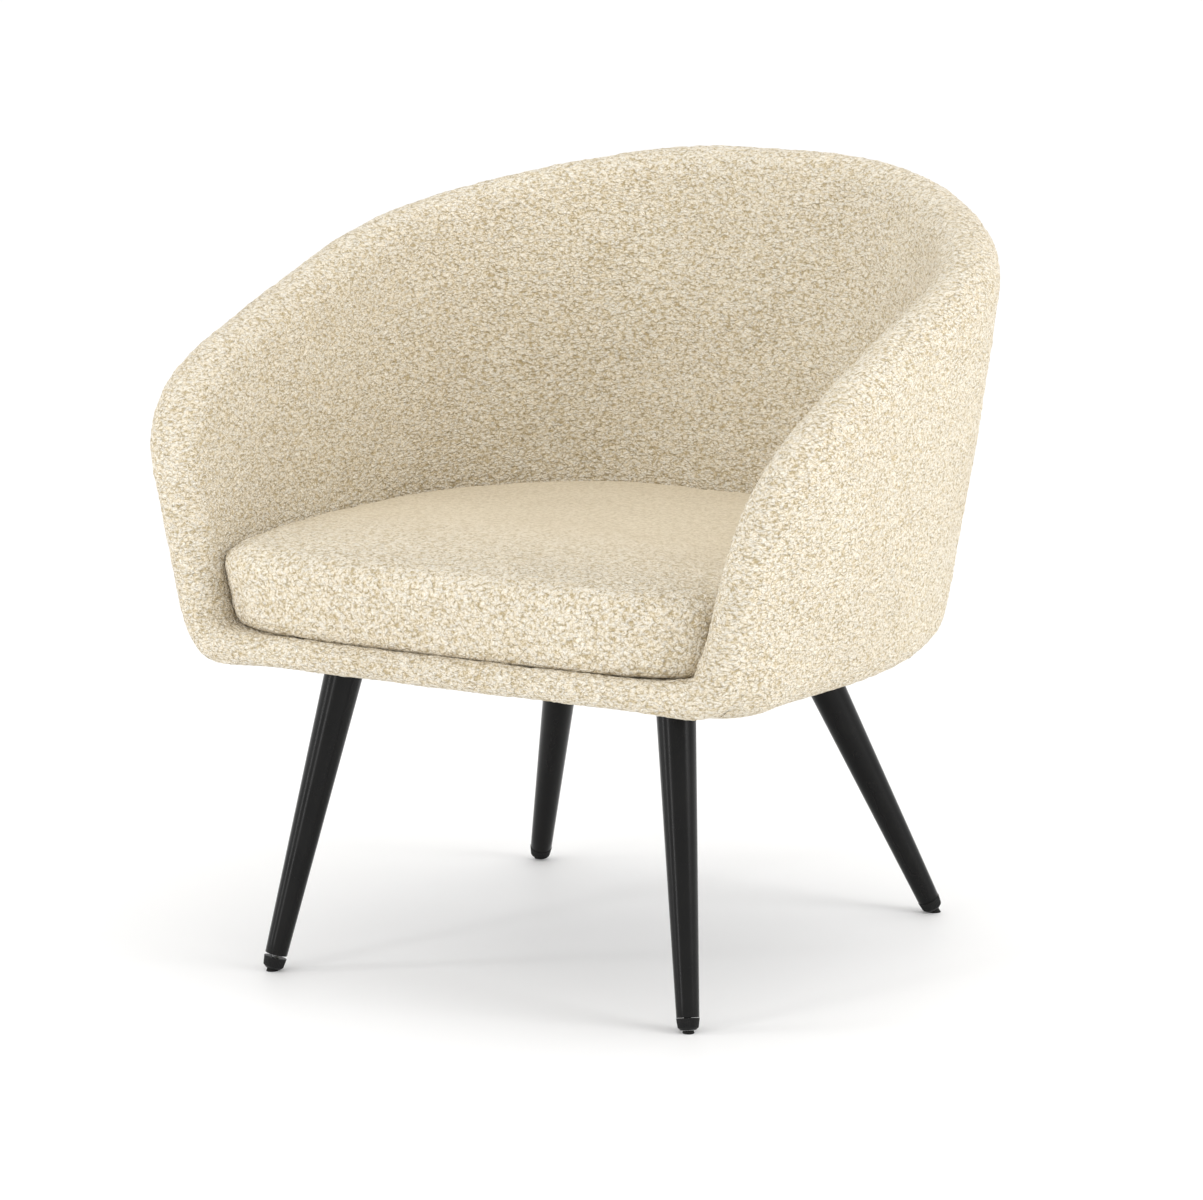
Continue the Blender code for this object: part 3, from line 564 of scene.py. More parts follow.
def build_covers():
    """Both fabric covers of the shell, from one skin that is parted at the seam on the roll."""
    stations = Stations(even_stations(ROUND_STEPS))
    outer = softened(even_rows(stations.outside(0), OUTER_ROWS), 2)
    inner = softened(even_rows(stations.inside(0), INNER_ROWS), 2)
    inner[0] = outer[-1]
    skin = np.concatenate((outer, inner[1:]))
    normals = grid_normals(skin, 1)
    centre = skin.mean(axis=(0, 1))
    if (normals[OUTER_ROWS // 2] * (skin[OUTER_ROWS // 2] - centre)).sum() < 0:
        normals = -normals
    free = np.clip((skin[..., 2:3] - BASE_Z - PILE_START) / PILE_RAMP, 0, 1)
    raised = skin + normals * (pile(skin) * free)
    backing = skin - COVER_THICK * normals
    outer_rows = np.linspace(0, OUTER_ROWS - 1, LINING_ROWS).astype(int)
    inner_rows = np.linspace(OUTER_ROWS - 1, len(skin) - 1, LINING_ROWS).astype(int)
    cover_band("tub_outer_cover", raised[:OUTER_ROWS], backing[outer_rows], BOUCLE, "outer_cover")
    cover_band("tub_inner_cover", raised[OUTER_ROWS - 1:], backing[inner_rows], BOUCLE,
               "inner_cover")


# ---------------------------------------------------------------- cushion

CUSHION_VOXEL = 0.0055
CUSHION_START = 0.0010
CUSHION_SOFTEN = 14
CUSHION_FOAM_DEPTH = 0.0030
# Softening is weak up to the first height above the bottom, and full the second length further.
CRISP_HEIGHT = 0.012
CRISP_RAMP = 0.03
# Cloth simulation, and how far a point may end up inside or outside where it started.
CUSHION_PRESSURE = 4.0
CUSHION_FRAMES = 20
CUSHION_SINK = 0.0008
CUSHION_SWELL = 0.0030
# Filling the seat well: gaps left to its wall low and high on the cushion (the low one is
# pressed in), the largest growth, and the growth where there is no wall, at the front.
WELL_RAYS = 120
WELL_CLEARANCE = (-0.0040, 0.0)
WELL_LEVELS = (0.012, 0.015)
WELL_GROWTH = 0.0150
FRONT_GROWTH = 0.0035
# The rear of the seat lies lower, the front hem drops to the rail, its corners spread sideways.
SEAT_SINK = 0.0045
HEM_DROP = 0.0038
HEM_HEIGHT = 0.025
CORNER_SPREAD = 0.0090
ZIP_SLOT_DEPTH = 0.0030
ZIP_SLOT_MARGIN = 0.004


def copy_of(node, name):
    """A loose copy of a CAD node's mesh, without its marks, parent or material."""
    item = NODES[node].copy()
    item.data = NODES[node].data.copy()
    item.name = name
    for key in list(item.keys()):
        del item[key]
    item.parent = None
    item.data.materials.clear()
    bpy.context.scene.collection.objects.link(item)
    return item


def apply_modifiers(item):
    graph = bpy.context.evaluated_depsgraph_get()
    mesh = bpy.data.meshes.new_from_object(item.evaluated_get(graph))
    item.modifiers.clear()
    item.data = mesh


def vertex_array(item):
    flat = np.empty(len(item.data.vertices) * 3)
    item.data.vertices.foreach_get("co", flat)
    return flat.reshape(-1, 3)


def set_vertices(item, points):
    item.data.vertices.foreach_set("co", points.astype(np.float32).ravel())
    item.data.update()


def vertex_normals(item):
    flat = np.empty(len(item.data.vertices) * 3, np.float32)
    item.data.vertex_normals.foreach_get("vector", flat)
    return flat.reshape(-1, 3).astype(float)


def build_cushion():
    """The loose cushion: widened, rounded, blown up as a cloth bag, and its foam and pile."""
    item = copy_of("cushion_foam", "seat_cushion_cover")
    remesh = item.modifiers.new("remesh", "REMESH")
    remesh.mode = "VOXEL"
    remesh.voxel_size = CUSHION_VOXEL
    remesh.use_smooth_shade = True
    apply_modifiers(item)
    set_vertices(item, vertex_array(item) + CUSHION_START * vertex_normals(item))
    fill_well(item)
    round_edges(item)
    inflate(item)
    build_cushion_foam(item)
    detail = item.modifiers.new("detail", "SUBSURF")
    detail.levels = 1
    apply_modifiers(item)
    raise_cushion_pile(item)
    item.data.materials.clear()
    item.data.materials.append(BOUCLE_SEAT)
    item.data.shade_smooth()
    place_piece(item, "cushion_cover", "seat_cushion")


def round_edges(item):
    """Soften the cushion's shape, except for the edge that stands on the rail."""
    group = item.vertex_groups.new(name="soften")
    heights = vertex_array(item)[:, 2]
    lowest = heights.min()
    for index, height in enumerate(heights):
        weight = np.clip((height - lowest - CRISP_HEIGHT) / CRISP_RAMP, 0.05, 1)
        group.add([index], float(weight), "REPLACE")
    soften = item.modifiers.new("soften", "SMOOTH")
    soften.factor = 0.5
    soften.iterations = CUSHION_SOFTEN
    soften.vertex_group = "soften"
    apply_modifiers(item)


def build_cushion_foam(cover):
    """The foam core, a little inside the cover."""
    foam = cover.copy()
    foam.data = cover.data.copy()
    foam.name = "seat_cushion_foam"
    bpy.context.scene.collection.objects.link(foam)
    set_vertices(foam, vertex_array(foam) - CUSHION_FOAM_DEPTH * vertex_normals(foam))
    foam.data.materials.append(FOAM)
    place_piece(foam, "cushion_foam", "seat_cushion")


def raise_cushion_pile(item):
    """Pile on the cushion: pressed on the seat, none below, and let in round the zip."""
    points, normals = vertex_array(item), vertex_normals(item)
    level = np.clip((normals[:, 2:3] - 0.80) / 0.17, 0, 1)
    flat = level * np.clip((points[:, 1:2] + 0.30) / 0.2, 0, 1)
    under = np.clip((-normals[:, 2:3] - 0.5) / 0.4, 0, 1)
    made = points + normals * pile(points) * (1 - 0.7 * flat) * (1 - under)
    zip_low, zip_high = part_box("cushion_zip")
    inside = made[:, 1] > zip_low.y - 0.02
    for axis in (0, 2):
        inside &= made[:, axis] > zip_low[axis] - ZIP_SLOT_MARGIN
        inside &= made[:, axis] < zip_high[axis] + ZIP_SLOT_MARGIN
    made[inside, 1] -= ZIP_SLOT_DEPTH
    set_vertices(item, made)


def surface_tree(mesh):
    return BVHTree.FromPolygons([v.co for v in mesh.vertices], [p.vertices for p in mesh.polygons])


def fill_well(item):
    """Widen the cushion until it leans on the upholstery round it, as the loose seat does."""
    wall = surface_tree(bpy.data.objects["tub_inner_cover"].data)
    cushion = surface_tree(item.data)
    points = vertex_array(item)
    low, high = points[:, 2].min() + WELL_LEVELS[0], points[:, 2].max() - WELL_LEVELS[1]
    angles = np.linspace(-math.pi, math.pi, WELL_RAYS, endpoint=False)
    growth = []
    for level, clearance in zip((low, high), WELL_CLEARANCE):
        ring = []
        for angle in angles:
            way = Vector((math.sin(angle), -math.cos(angle), 0))
            start = Vector((0, CENTRE_Y, level))
            edge = cushion.ray_cast(start + 0.6 * way, -way)[0]
            stop = wall.ray_cast(edge, way, 0.1)
            gap = FRONT_GROWTH if stop[0] is None else stop[3] - clearance
            ring.append(np.clip(gap, 0, WELL_GROWTH) / (edge - start).length)
        ring = np.array(ring)
        growth.append((np.roll(ring, -1) + ring + np.roll(ring, 1)) / 3)

    middle = np.array((0, CENTRE_Y))
    flat = points[:, :2] - middle
    around = np.arctan2(flat[:, 0], -flat[:, 1])
    rise = np.clip((points[:, 2] - low) / (high - low), -0.3, 1)
    lower, upper = (np.interp(around, angles, ring, period=2 * math.pi) for ring in growth)
    sunk = np.clip((points[:, 1] + 0.2) / 0.2, 0, 1) * np.clip(rise, 0, 1)
    points[:, 2] -= SEAT_SINK * sunk
    hem = np.clip(1 + (low - WELL_LEVELS[0] - points[:, 2]) / HEM_HEIGHT, 0, 1)
    points[:, 2] -= HEM_DROP * (hem * np.clip(-2 - points[:, 1] / 0.1, 0, 1))
    corner = np.clip((-0.20 - points[:, 1]) / 0.06, 0, 1) * np.clip(1 - rise, 0, 1)
    points[:, 0] += CORNER_SPREAD * corner * points[:, 0] / 0.25
    flat = points[:, :2] - middle
    points[:, :2] = middle + flat * (1 + lower * (1 - rise) + upper * rise)[:, None]
    set_vertices(item, points)


def inflate(item):
    """Blow the cushion up as a cloth bag, and keep its movement along the normals, limited."""
    start, normals = vertex_array(item), vertex_normals(item)
    cloth = item.modifiers.new("cloth", "CLOTH")
    cloth.settings.quality = 5
    cloth.settings.mass = 0.3
    cloth.settings.use_pressure = True
    cloth.settings.uniform_pressure_force = CUSHION_PRESSURE
    cloth.settings.effector_weights.gravity = 0
    cloth.settings.tension_stiffness = 15
    cloth.settings.compression_stiffness = 15
    cloth.settings.bending_stiffness = 0.5
    cloth.collision_settings.use_collision = False
    cloth.point_cache.frame_start, cloth.point_cache.frame_end = 1, CUSHION_FRAMES
    scene = bpy.context.scene
    for step in range(1, CUSHION_FRAMES + 1):
        scene.frame_set(step)
    apply_modifiers(item)
    scene.frame_set(1)
    swell = dot(vertex_array(item) - start, normals)
    highest = CUSHION_SWELL * (1 - 0.8 * np.abs(normals[:, 2:3]))
    set_vertices(item, start + normals * np.clip(swell, -CUSHION_SINK, highest))


# ---------------------------------------------------------------- legs and glides

TUBE_SIDES = 96
TUBE_LIP = 0.0002
RIB_COUNT = 40
RIB_SIDES = 8
RIB_DEPTH = 0.00042
THREAD_PITCH = 0.00125
THREAD_DEPTH = 0.00055
CAP_EDGE = 0.0002
# Side of a pan head: shares of its radius and of its height.
SCREW_HEAD = ((0.30, 0.0), (0.42, 0.01), (0.55, 0.05), (0.72, 0.16), (0.88, 0.38), (0.97, 0.66),
              (1.0, 1.0))
# Side of a pad, from its sole: shares of its radius and of its height.
PAD_SIDE = ((0.55, 0.0), (0.97, 0.0), (1.0, 0.12), (0.96, 0.35), (0.93, 0.6), (0.95, 0.85),
            (0.92, 1.0), (0.3, 1.0))
SCREW_PITCH = 0.0018
SCREW_DEPTH = 0.0006
WELD_RADIUS = 0.0022
WELD_RIPPLES = 46
WELD_STEPS = 8
# The drawn side stops this far down the leg's axis from its top, and a level end closes it.
TUBE_TOP_ROOM = 0.02


def leg_frame(leg):
    """Origin where the leg's axis meets the floor, Z up the leg."""
    joint = next(j for j in frame["joints"] if j["name"] == f"{leg}_glide_turn")
    way = -Vector(joint["axis"]).normalized()
    across = Vector((0, 1, 0)).cross(way).normalized()
    turn = Matrix((across, way.cross(across), way)).transposed()
    return Matrix.Translation(Vector(joint["pos_m"])) @ turn.to_4x4()


def in_frame(node, matrix):
    """A node's points in the leg's frame, as distances from the axis and heights along it."""
    points = np.array([v.co for v in NODES[node].data.vertices], float)
    inverse = np.array(matrix.inverted())
    local = points @ inverse[:3, :3].T + inverse[:3, 3]
    return np.hypot(local[:, 0], local[:, 1]), local[:, 2]


def in_world(points, matrix):
    turn = np.array(matrix)
    return points @ turn[:3, :3].T + turn[:3, 3]


def turned(name, profile, sides, material, matrix, shape=None, cut=None):
    """A solid of revolution. The profile is radius and height pairs, from axis to axis.

    shape changes a ring's radii by angle, and cut moves a ring's points, for a level end.
    """
    angle = np.linspace(0, 2 * math.pi, sides, endpoint=False)
    rings = []
    for index, (radius, height) in enumerate(profile):
        radii = np.full(sides, radius)
        if shape is not None:
            radii = shape(index, radii, height, angle)
        ring = np.stack((radii * np.cos(angle), radii * np.sin(angle), np.full(sides, height)), 1)
        rings.append(ring if cut is None else cut(index, ring))
    points = np.concatenate(rings)
    faces = capped_faces(len(rings), sides)
    item = mesh_object(name, in_world(points, matrix), faces, (material,))
    fix_normals(item)
    item.data.set_sharp_from_angle(angle=TURNED_SHARP)
    return item


def arc(centre_r, centre_z, radius, start, end, count):
    """Points of a profile on an arc, from one angle in degrees to another."""
    turns = [math.radians(start + (end - start) * k / (count - 1)) for k in range(count)]
    return [(centre_r + radius * math.cos(a), centre_z + radius * math.sin(a)) for a in turns]


def build_leg(leg):
    matrix = leg_frame(leg)
    build_tube(leg, matrix)
    build_cap(leg, matrix)
    build_pad(leg, matrix)
    build_stud(leg, matrix)
    soft_edge(NODES[f"leg_plate_{leg}"], 0.0006)
    soft_edge(NODES[f"leg_insert_{leg}"], 0.0003)
    for k in (1, 2, 3):
        build_screw(f"leg_screw_{leg}_{k}")


def soft_edge(item, width):
    bevel = item.modifiers.new("edge", "BEVEL")
    bevel.width = width
    bevel.segments = 3
    bevel.limit_method = "ANGLE"
    bevel.angle_limit = math.radians(40)


def build_tube(leg, matrix):
    """Tapered tube with a rounded foot lip and a level top."""
    radii, heights = in_frame(f"leg_tube_{leg}", matrix)
    foot, top = heights.min(), heights.max()
    foot_radius = radii[heights < foot + 1e-4].max()
    bore_radius = radii[heights < foot + 1e-4].min()
    flare = (radii.max() - foot_radius) / (heights[radii.argmax()] - foot)
    wall = foot_radius - bore_radius
    top_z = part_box(f"leg_tube_{leg}")[1].z
    turn = np.array(matrix)

    def level(ring):
        """Slide a ring's points along the cone until they lie at the top's height."""
        radial = ring * (1, 1, 0)
        line = flare * radial / np.linalg.norm(radial, axis=1, keepdims=True) + UP
        z = ring @ turn[2, :3] + turn[2, 3]
        return ring + line * ((top_z - z) / (line @ turn[2, :3]))[:, None]

    lip = arc(foot_radius - TUBE_LIP, foot + TUBE_LIP, TUBE_LIP, -90, 0, 4)
    length = top - foot - TUBE_TOP_ROOM
    side = [(foot_radius + flare * length * s, foot + length * s)
            for s in np.linspace(0, 1, 24)[1:]]
    end_radius, end = side[-1]
    profile = [(bore_radius, foot + TUBE_LIP), (bore_radius + TUBE_LIP, foot), *lip, *side]
    angle = np.linspace(0, 2 * math.pi, TUBE_SIDES, endpoint=False)

    def circle(radius, height):
        return np.stack((radius * np.cos(angle), radius * np.sin(angle),
                         np.full(TUBE_SIDES, height)), 1)

    rings = [circle(radius, height) for radius, height in profile]
    rings += [level(circle(end_radius, end)), level(circle(end_radius - wall, end))]
    points = in_world(np.concatenate(rings), matrix)
    item = mesh_object(f"leg_{leg}_tube", points, band_faces(len(rings), TUBE_SIDES), (STEEL,))
    fix_normals(item)
    item.data.set_sharp_from_angle(angle=TURNED_SHARP)
    place_piece(item, f"leg_tube_{leg}", "root")
    build_weld(leg, in_world(rings[-2], matrix), angle, wall)


def build_weld(leg, seat, angle, wall):
    """Rippled weld bead round the tube's top, where it meets the plate."""
    out = unit(seat - seat.mean(axis=0))
    ripple = 1 + 0.10 * np.abs(np.sin(WELD_RIPPLES / 2 * angle))[:, None]
    rows = []
    for k in range(WELD_STEPS + 1):
        a = math.radians(110 - 130 * k / WELD_STEPS)
        fall = WELD_RADIUS * (0.5 - 0.5 * math.sin(a))
        rows.append(seat + 0.9 * WELD_RADIUS * math.cos(a) * ripple * out - fall * UP)
    inner = seat - out * wall * 0.5
    rows += [inner - UP * WELD_RADIUS, inner]
    weld = mesh_object(f"leg_{leg}_weld", np.stack(rows), band_faces(len(rows), TUBE_SIDES),
                       (STEEL,))
    fix_normals(weld)
    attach(weld, "root")


def build_cap(leg, matrix):
    """Ribbed cap of the glide, with a chamfered sole and a socket for its stud."""
    radii, heights = in_frame(f"glide_cap_{leg}", matrix)
    low, high = heights.min(), heights.max()
    top_radius = radii.max()
    sole_radius = radii[heights < low + 1e-4].max()
    socket = radii.min()
    levels = sorted({round(h, 5) for h in heights})
    waist_z, socket_z = levels[1], levels[2]
    waist = radii[np.abs(heights - waist_z) < 1e-4].max()
    edge = CAP_EDGE
    side = [(waist + (top_radius - waist) * s, waist_z + (high - edge - waist_z) * s)
            for s in np.linspace(0, 1, 8)]
    profile = [(1e-5, low + 0.0002), (sole_radius * 0.8, low + 0.0002), (sole_radius, low)]
    profile += [(sole_radius + (waist - sole_radius) * s, low + (waist_z - low) * s)
                for s in (0.3, 0.6, 0.9)]
    ribs = range(len(profile), len(profile) + len(side) - 1)
    profile += side
    profile += arc(top_radius - edge, high - edge, edge, 20, 90, 4)
    profile += [(socket + 0.0008, high), (socket, high - 0.0004), (socket, socket_z),
                (1e-5, socket_z)]

    def ribbed(index, ring, height, angle):
        if index not in ribs:
            return ring
        groove = 0.5 - 0.5 * np.cos(RIB_COUNT * angle)
        return ring - RIB_DEPTH * groove**2

    item = turned(f"glide_{leg}_cap", profile, RIB_COUNT * RIB_SIDES, PLASTIC, matrix, ribbed)
    place_piece(item, f"glide_cap_{leg}", f"{leg}_glide")


def build_pad(leg, matrix):
    """Rubber pad, waisted, and cut level where it stands on the floor."""
    radii, heights = in_frame(f"glide_pad_{leg}", matrix)
    radius, high = radii[heights > heights.max() - 1e-4].max(), heights.max()
    floor_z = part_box(f"glide_pad_{leg}")[0].z
    turn = np.array(matrix)

    def lean(index, ring):
        z = ring @ turn[2, :3] + turn[2, 3]
        share = PAD_SIDE[index][1]
        foot = (floor_z - z) / turn[2, 2]
        ring[:, 2] = (ring[:, 2] + foot) * (1 - share) + high * share
        return ring

    profile = [(radius * r, 0.0) for r, _ in PAD_SIDE]
    item = turned(f"glide_{leg}_pad", profile, 64, RUBBER, matrix, None, lean)
    place_piece(item, f"glide_pad_{leg}", f"{leg}_pad")


def build_stud(leg, matrix):
    """Threaded stud of the glide."""
    radii, heights = in_frame(f"glide_stud_{leg}", matrix)
    radius, low, high = radii.max(), heights.min(), heights.max()
    rows = int((high - low) / THREAD_PITCH * 8)
    profile = [(1e-5, low), (radius * 0.8, low)]
    profile += [(radius, low + (high - low) * k / rows) for k in range(rows + 1)]
    profile.append((1e-5, high))
    plain = (0, 1, len(profile) - 1)

    def threaded(index, ring, height, angle):
        if index in plain:
            return ring
        phase = height / THREAD_PITCH - angle / (2 * math.pi)
        return ring - THREAD_DEPTH * np.abs(2 * (phase - np.floor(phase)) - 1)

    item = turned(f"glide_{leg}_stud", profile, 40, ZINC, matrix, threaded)
    place_piece(item, f"glide_stud_{leg}", f"{leg}_glide")


def build_screw(node):
    """Pan head wood screw, driven up, with a cross recess in its head."""
    low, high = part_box(node)
    centre = (low + high) / 2
    head = (high.x - low.x) / 2
    points = np.array([v.co for v in NODES[node].data.vertices], float)
    heights = sorted({round(z, 5) for z in points[:, 2].tolist()})
    head_top = next(z for z in heights if z > low.z + 0.002)
    above = points[points[:, 2] > head_top + 0.002]
    shank = np.hypot(above[:, 0] - centre.x, above[:, 1] - centre.y).max()
    tall = head_top - low.z
    matrix = Matrix.Translation((centre.x, centre.y, 0))
    cap = [(head * r, low.z + tall * z) for r, z in SCREW_HEAD]
    recess = [(head * 0.05, low.z + tall * 0.75), (head * 0.16, low.z + tall * 0.6)]
    rows = int((high.z - head_top) / SCREW_PITCH * 6)
    shaft = [(shank, head_top + (high.z - head_top) * k / rows) for k in range(rows + 1)]
    first = len(recess) + len(cap)
    profile = recess + cap + shaft + [(1e-5, high.z)]
    last = len(profile) - 1

    def shape(index, ring, height, angle):
        if index < 3:
            return ring * (1 + 1.1 * np.cos(2 * angle) ** 6)
        if index < first or index == last:
            return ring
        phase = height / SCREW_PITCH - angle / (2 * math.pi)
        return ring - SCREW_DEPTH * np.abs(2 * (phase - np.floor(phase)) - 1) ** 0.7

    item = turned(node.replace("leg_screw", "plate_screw"), profile, 32, ZINC, matrix, shape)
    place_piece(item, node, "root")


# ---------------------------------------------------------------- cloth under the seat

DUST_INSET = 0.010
DUST_SAG = 0.005
DUST_PUCKER = 0.0005
DECK_INSET = 0.024
FELT_INSET = 0.0025
FELT_EDGE = 0.004
SHEET_ROWS = 46
SHEET_STEPS = 400
STAPLE_COUNT = 56
STAPLE_INSET = 0.0165
STAPLE_CROWN = 0.0098
STAPLE_WIRE = 0.00055
STAPLE_LEG = 0.0012
STAPLE_SIDES = 8


def rings_inside(points, inset, shares):
    """Rows from a shell curve, inset and laid flat, towards its middle, and their distances in."""
    place, way = spline(points, even_stations(SHEET_STEPS))
    rim = (place - inset * unit(np.cross(UP, way))) * (1, 1, 0)
    middle = rim.mean(axis=0)
    rows = np.stack([rim + (middle - rim) * s for s in shares])
    return rows, np.linalg.norm(rows - rim, axis=2)


def ring_sheet(name, points, inset, low_z, high_z, shape, material):
    """A closed thin sheet inside a shell curve. shape(rows, edge) lowers it, edge in metres."""
    shares = np.concatenate((np.linspace(0, 0.10, 9), np.linspace(0.10, 0.97, SHEET_ROWS)[1:]))
    rows, edge = rings_inside(points, inset, shares)
    drop = shape(rows, edge)
    low, high = rows.copy(), rows.copy()
    low[..., 2] = low_z - drop
    high[..., 2] = high_z - drop
    grid = np.concatenate((low[::-1], high))
    item = mesh_object(name, grid, capped_faces(len(grid), grid.shape[1]), (material,))
    fix_normals(item)
    rim = rows[0]
    return item, (float(np.ptp(rim[:, 0])), float(np.ptp(rim[:, 1]))), float(polygon_area(rim))


def polygon_area(ring):
    x, y = ring[:, 0], ring[:, 1]
    return abs((x * np.roll(y, -1) - y * np.roll(x, -1)).sum()) / 2


def build_dust_cover():
    """Cloth over the underside, held at its edge by staples and at the legs by their plates."""
    low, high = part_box("dust_cover")
    plates = [sum(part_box(f"leg_plate_{leg}"), Vector()) / 2 for leg in LEGS]

    def shape(rows, edge):
        held = np.ones_like(edge)
        for plate in plates:
            apart = np.hypot(rows[..., 0] - plate.x, rows[..., 1] - plate.y)
            held *= np.clip((apart - 0.045) / 0.08, 0, 1)
        sag = DUST_SAG * np.clip((edge - 0.03) / 0.14, 0, 1) ** 1.2 * held
        turns = STAPLE_COUNT * np.arange(1, SHEET_STEPS + 1) / SHEET_STEPS
        pucker = DUST_PUCKER * np.cos(2 * math.pi * turns)[None, :]
        return sag + pucker * np.exp(-((edge - 0.026) / 0.012) ** 2)

    item, flat, area = ring_sheet("dust_cover_cloth", BASE, DUST_INSET, low.z, high.z, shape,
                                  BLACK_CLOTH)
    place_piece(item, "dust_cover", "root")
    build_staples(low.z)


def build_staples(z):
    """Flat wire staples through the dust cover's edge, with their legs in the rail."""
    t = even_stations(STAPLE_COUNT)
    place, way = spline(BASE, t)
    side = unit(np.cross(UP, way))
    points, faces = [], []
    rng = np.random.default_rng(7)
    for k in range(STAPLE_COUNT):
        centre = place[k] - STAPLE_INSET * side[k]
        tilt = rng.normal(0, 0.10)
        along = way[k] * math.cos(tilt) + side[k] * math.sin(tilt)
        across = np.cross(UP, along)
        half = STAPLE_CROWN / 2
        bend = half - 0.0006
        path = [(-half, STAPLE_LEG), (-half, 0.0002), (-bend, -STAPLE_WIRE),
                (0, -STAPLE_WIRE - 0.0001), (bend, -STAPLE_WIRE), (half, 0.0002),
                (half, STAPLE_LEG)]
        start = len(points)
        for i, (u, v) in enumerate(path):
            before, after = path[max(i - 1, 0)], path[min(i + 1, len(path) - 1)]
            run = np.array((after[0] - before[0], after[1] - before[1]))
            run = run / np.linalg.norm(run)
            spot = np.array((centre[0], centre[1], z)) + u * along + v * UP
            normal = -run[1] * along + run[0] * UP
            for a in range(STAPLE_SIDES):
                turn = 2 * math.pi * (a + 0.5) / STAPLE_SIDES
                off = 0.55 * math.cos(turn) * normal + 1.05 * math.sin(turn) * across
                points.append(spot + STAPLE_WIRE * off)
        faces += [tuple(start + i for i in face) for face in capped_faces(len(path), STAPLE_SIDES)]
    item = mesh_object("dust_cover_staples", points, faces, (ZINC,))
    fix_normals(item)
    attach(item, "root")


def build_deck():
    """Cloth over the webbing, and the felt pad under the cushion."""
    low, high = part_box("deck_cloth")
    item, flat, area = ring_sheet("deck_cloth_sheet", BASE, DECK_INSET, low.z, high.z,
                                  lambda rows, edge: np.zeros_like(edge), BLACK_CLOTH)
    place_piece(item, "deck_cloth", "root")

    low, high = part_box("deck_pad")
    shares = np.concatenate((np.linspace(0, 0.03, 5), np.linspace(0.03, 0.97, 60)[1:]))
    rows, edge = rings_inside(WELL, FELT_INSET, shares)
    soft = np.sqrt(np.clip(1 - (1 - edge / FELT_EDGE).clip(0, 1) ** 2, 0, 1))
    wave = noise_at(rows, 0.05, 5.1) * 0.0006 + noise_at(rows, 0.012, 8.3) * 0.0003 - 0.0008
    top, bottom = rows.copy(), rows.copy()
    top[..., 2] = low.z + (high.z - low.z) * (0.45 + 0.55 * soft) + wave[..., 0] * soft
    bottom[..., 2] = low.z
    grid = np.concatenate((bottom[::6][::-1], top))
    pad = mesh_object("deck_pad_felt", grid, capped_faces(len(grid), grid.shape[1]), (FELT,))
    fix_normals(pad)
    place_piece(pad, "deck_pad", "root")


# ---------------------------------------------------------------- carried-over nodes

def dress_nodes():
    """Give every CAD node that is still shown a worked material."""
    by_slot = {"plywood": PLYWOOD, "hardwood": HARDWOOD, "webbing": WEBBING, "foam": FOAM,
               "black_cloth": BLACK_CLOTH, "felt": FELT, "zip": ZIP_TAPE, "leg_steel": STEEL,
               "plastic": PLASTIC, "rubber": RUBBER, "zinc": ZINC, "boucle": BOUCLE}
    for part in frame["record"]["subparts"]:
        item = NODES[part["node"]]
        item.data.materials.clear()
        item.data.materials.append(by_slot[part["material_slot"]])


# ---------------------------------------------------------------- floor, light and camera

CAMERA_AZIMUTH = math.radians(29.36)
CAMERA_HEIGHT = math.radians(11.68)
CAMERA_DISTANCE = 6.0165
CAMERA_TARGET = Vector((0, -0.043, 0.3346))
CAMERA_LENS = 191.4
FLOOR_SIDE = 12
WORLD_STRENGTH = 1.06
LIGHT_AIM = Vector((0, 0, 0.4))
# Name, place, width and height, and watts of each area light.
LIGHTS = (
    ("key", (3.6, 0.1, 1.6), (1.6, 1.6), 52),
    ("edge", (-2.4, -1.9, 1.0), (0.3, 2.2), 14),
    ("streak", (-1.1, -3.1, 0.9), (0.22, 2.0), 15),
    ("top", (0.2, -0.2, 3.2), (2.0, 2.0), 4),
)


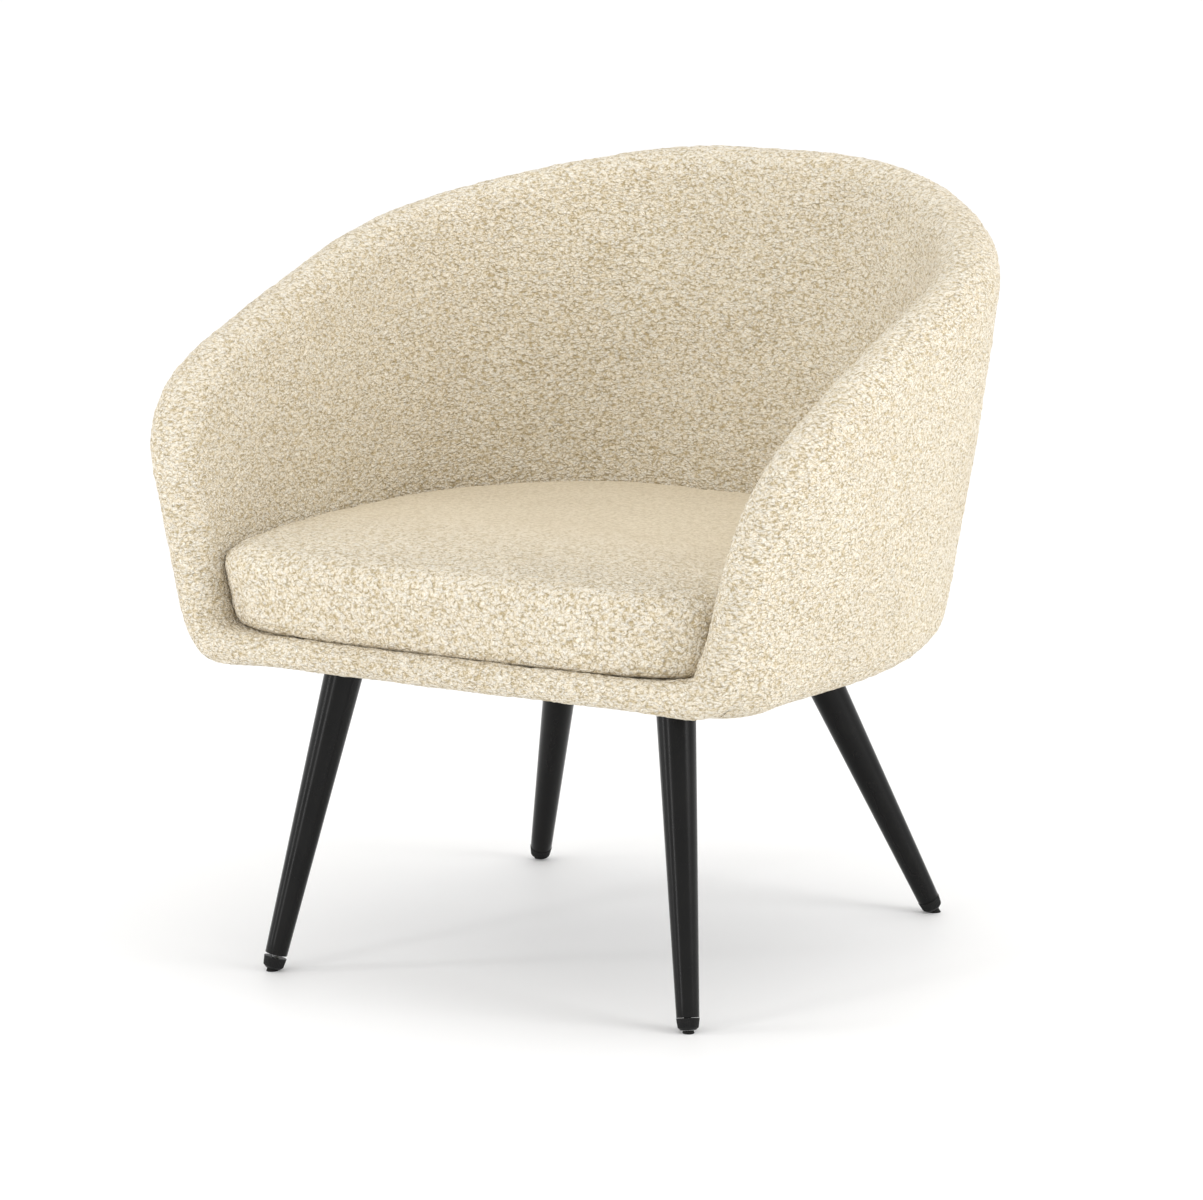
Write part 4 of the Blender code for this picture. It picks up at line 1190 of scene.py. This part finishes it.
def build_stage():
    """Camera at the photograph's angle, pale floor, white surroundings and soft lights."""
    camera_data = bpy.data.cameras.new("camera")
    camera_data.lens = CAMERA_LENS
    camera_data.sensor_width = 36
    camera_data.clip_end = 100
    camera = bpy.data.objects.new("camera", camera_data)
    bpy.context.scene.collection.objects.link(camera)
    level = math.cos(CAMERA_HEIGHT)
    back = Vector((math.sin(CAMERA_AZIMUTH) * level, -math.cos(CAMERA_AZIMUTH) * level,
                   math.sin(CAMERA_HEIGHT)))
    camera.location = CAMERA_TARGET + CAMERA_DISTANCE * back
    camera.rotation_mode = "QUATERNION"
    camera.rotation_quaternion = (-back).to_track_quat("-Z", "Y")
    bpy.context.scene.camera = camera

    floor_material, shader, wire = new_material("floor", (0.93, 0.93, 0.93), 0.6)
    mottle = wire.noise(wire.place(), 3.0, 3.0, 0.5)
    pale = wire.ramp(mottle, (0.3, (0.955, 0.955, 0.955)), (0.7, (0.965, 0.965, 0.965)))
    wire.join(pale, shader.inputs["Base Color"])
    corners = [(x * FLOOR_SIDE, y * FLOOR_SIDE, 0) for x, y in ((-1, -1), (1, -1), (1, 1), (-1, 1))]
    floor = mesh_object("floor", corners, [(0, 1, 2, 3)], (floor_material,))

    world = bpy.data.worlds.new("studio")
    world.use_nodes = True
    bpy.context.scene.world = world
    background = world.node_tree.nodes["Background"]
    background.inputs["Color"].default_value = (1, 1, 1, 1)
    background.inputs["Strength"].default_value = WORLD_STRENGTH
    bpy.context.scene.view_settings.view_transform = "Standard"
    for light in LIGHTS:
        add_light(*light)


def add_light(name, place, size, power):
    data = bpy.data.lights.new(name, "AREA")
    data.shape = "RECTANGLE"
    data.size, data.size_y = size
    data.energy = power
    light = bpy.data.objects.new(name, data)
    light.location = place
    light.rotation_mode = "QUATERNION"
    light.rotation_quaternion = (LIGHT_AIM - Vector(place)).to_track_quat("-Z", "Y")
    bpy.context.scene.collection.objects.link(light)


dress_nodes()
build_covers()
build_cushion()
for leg in LEGS:
    build_leg(leg)
build_dust_cover()
build_deck()
build_stage()
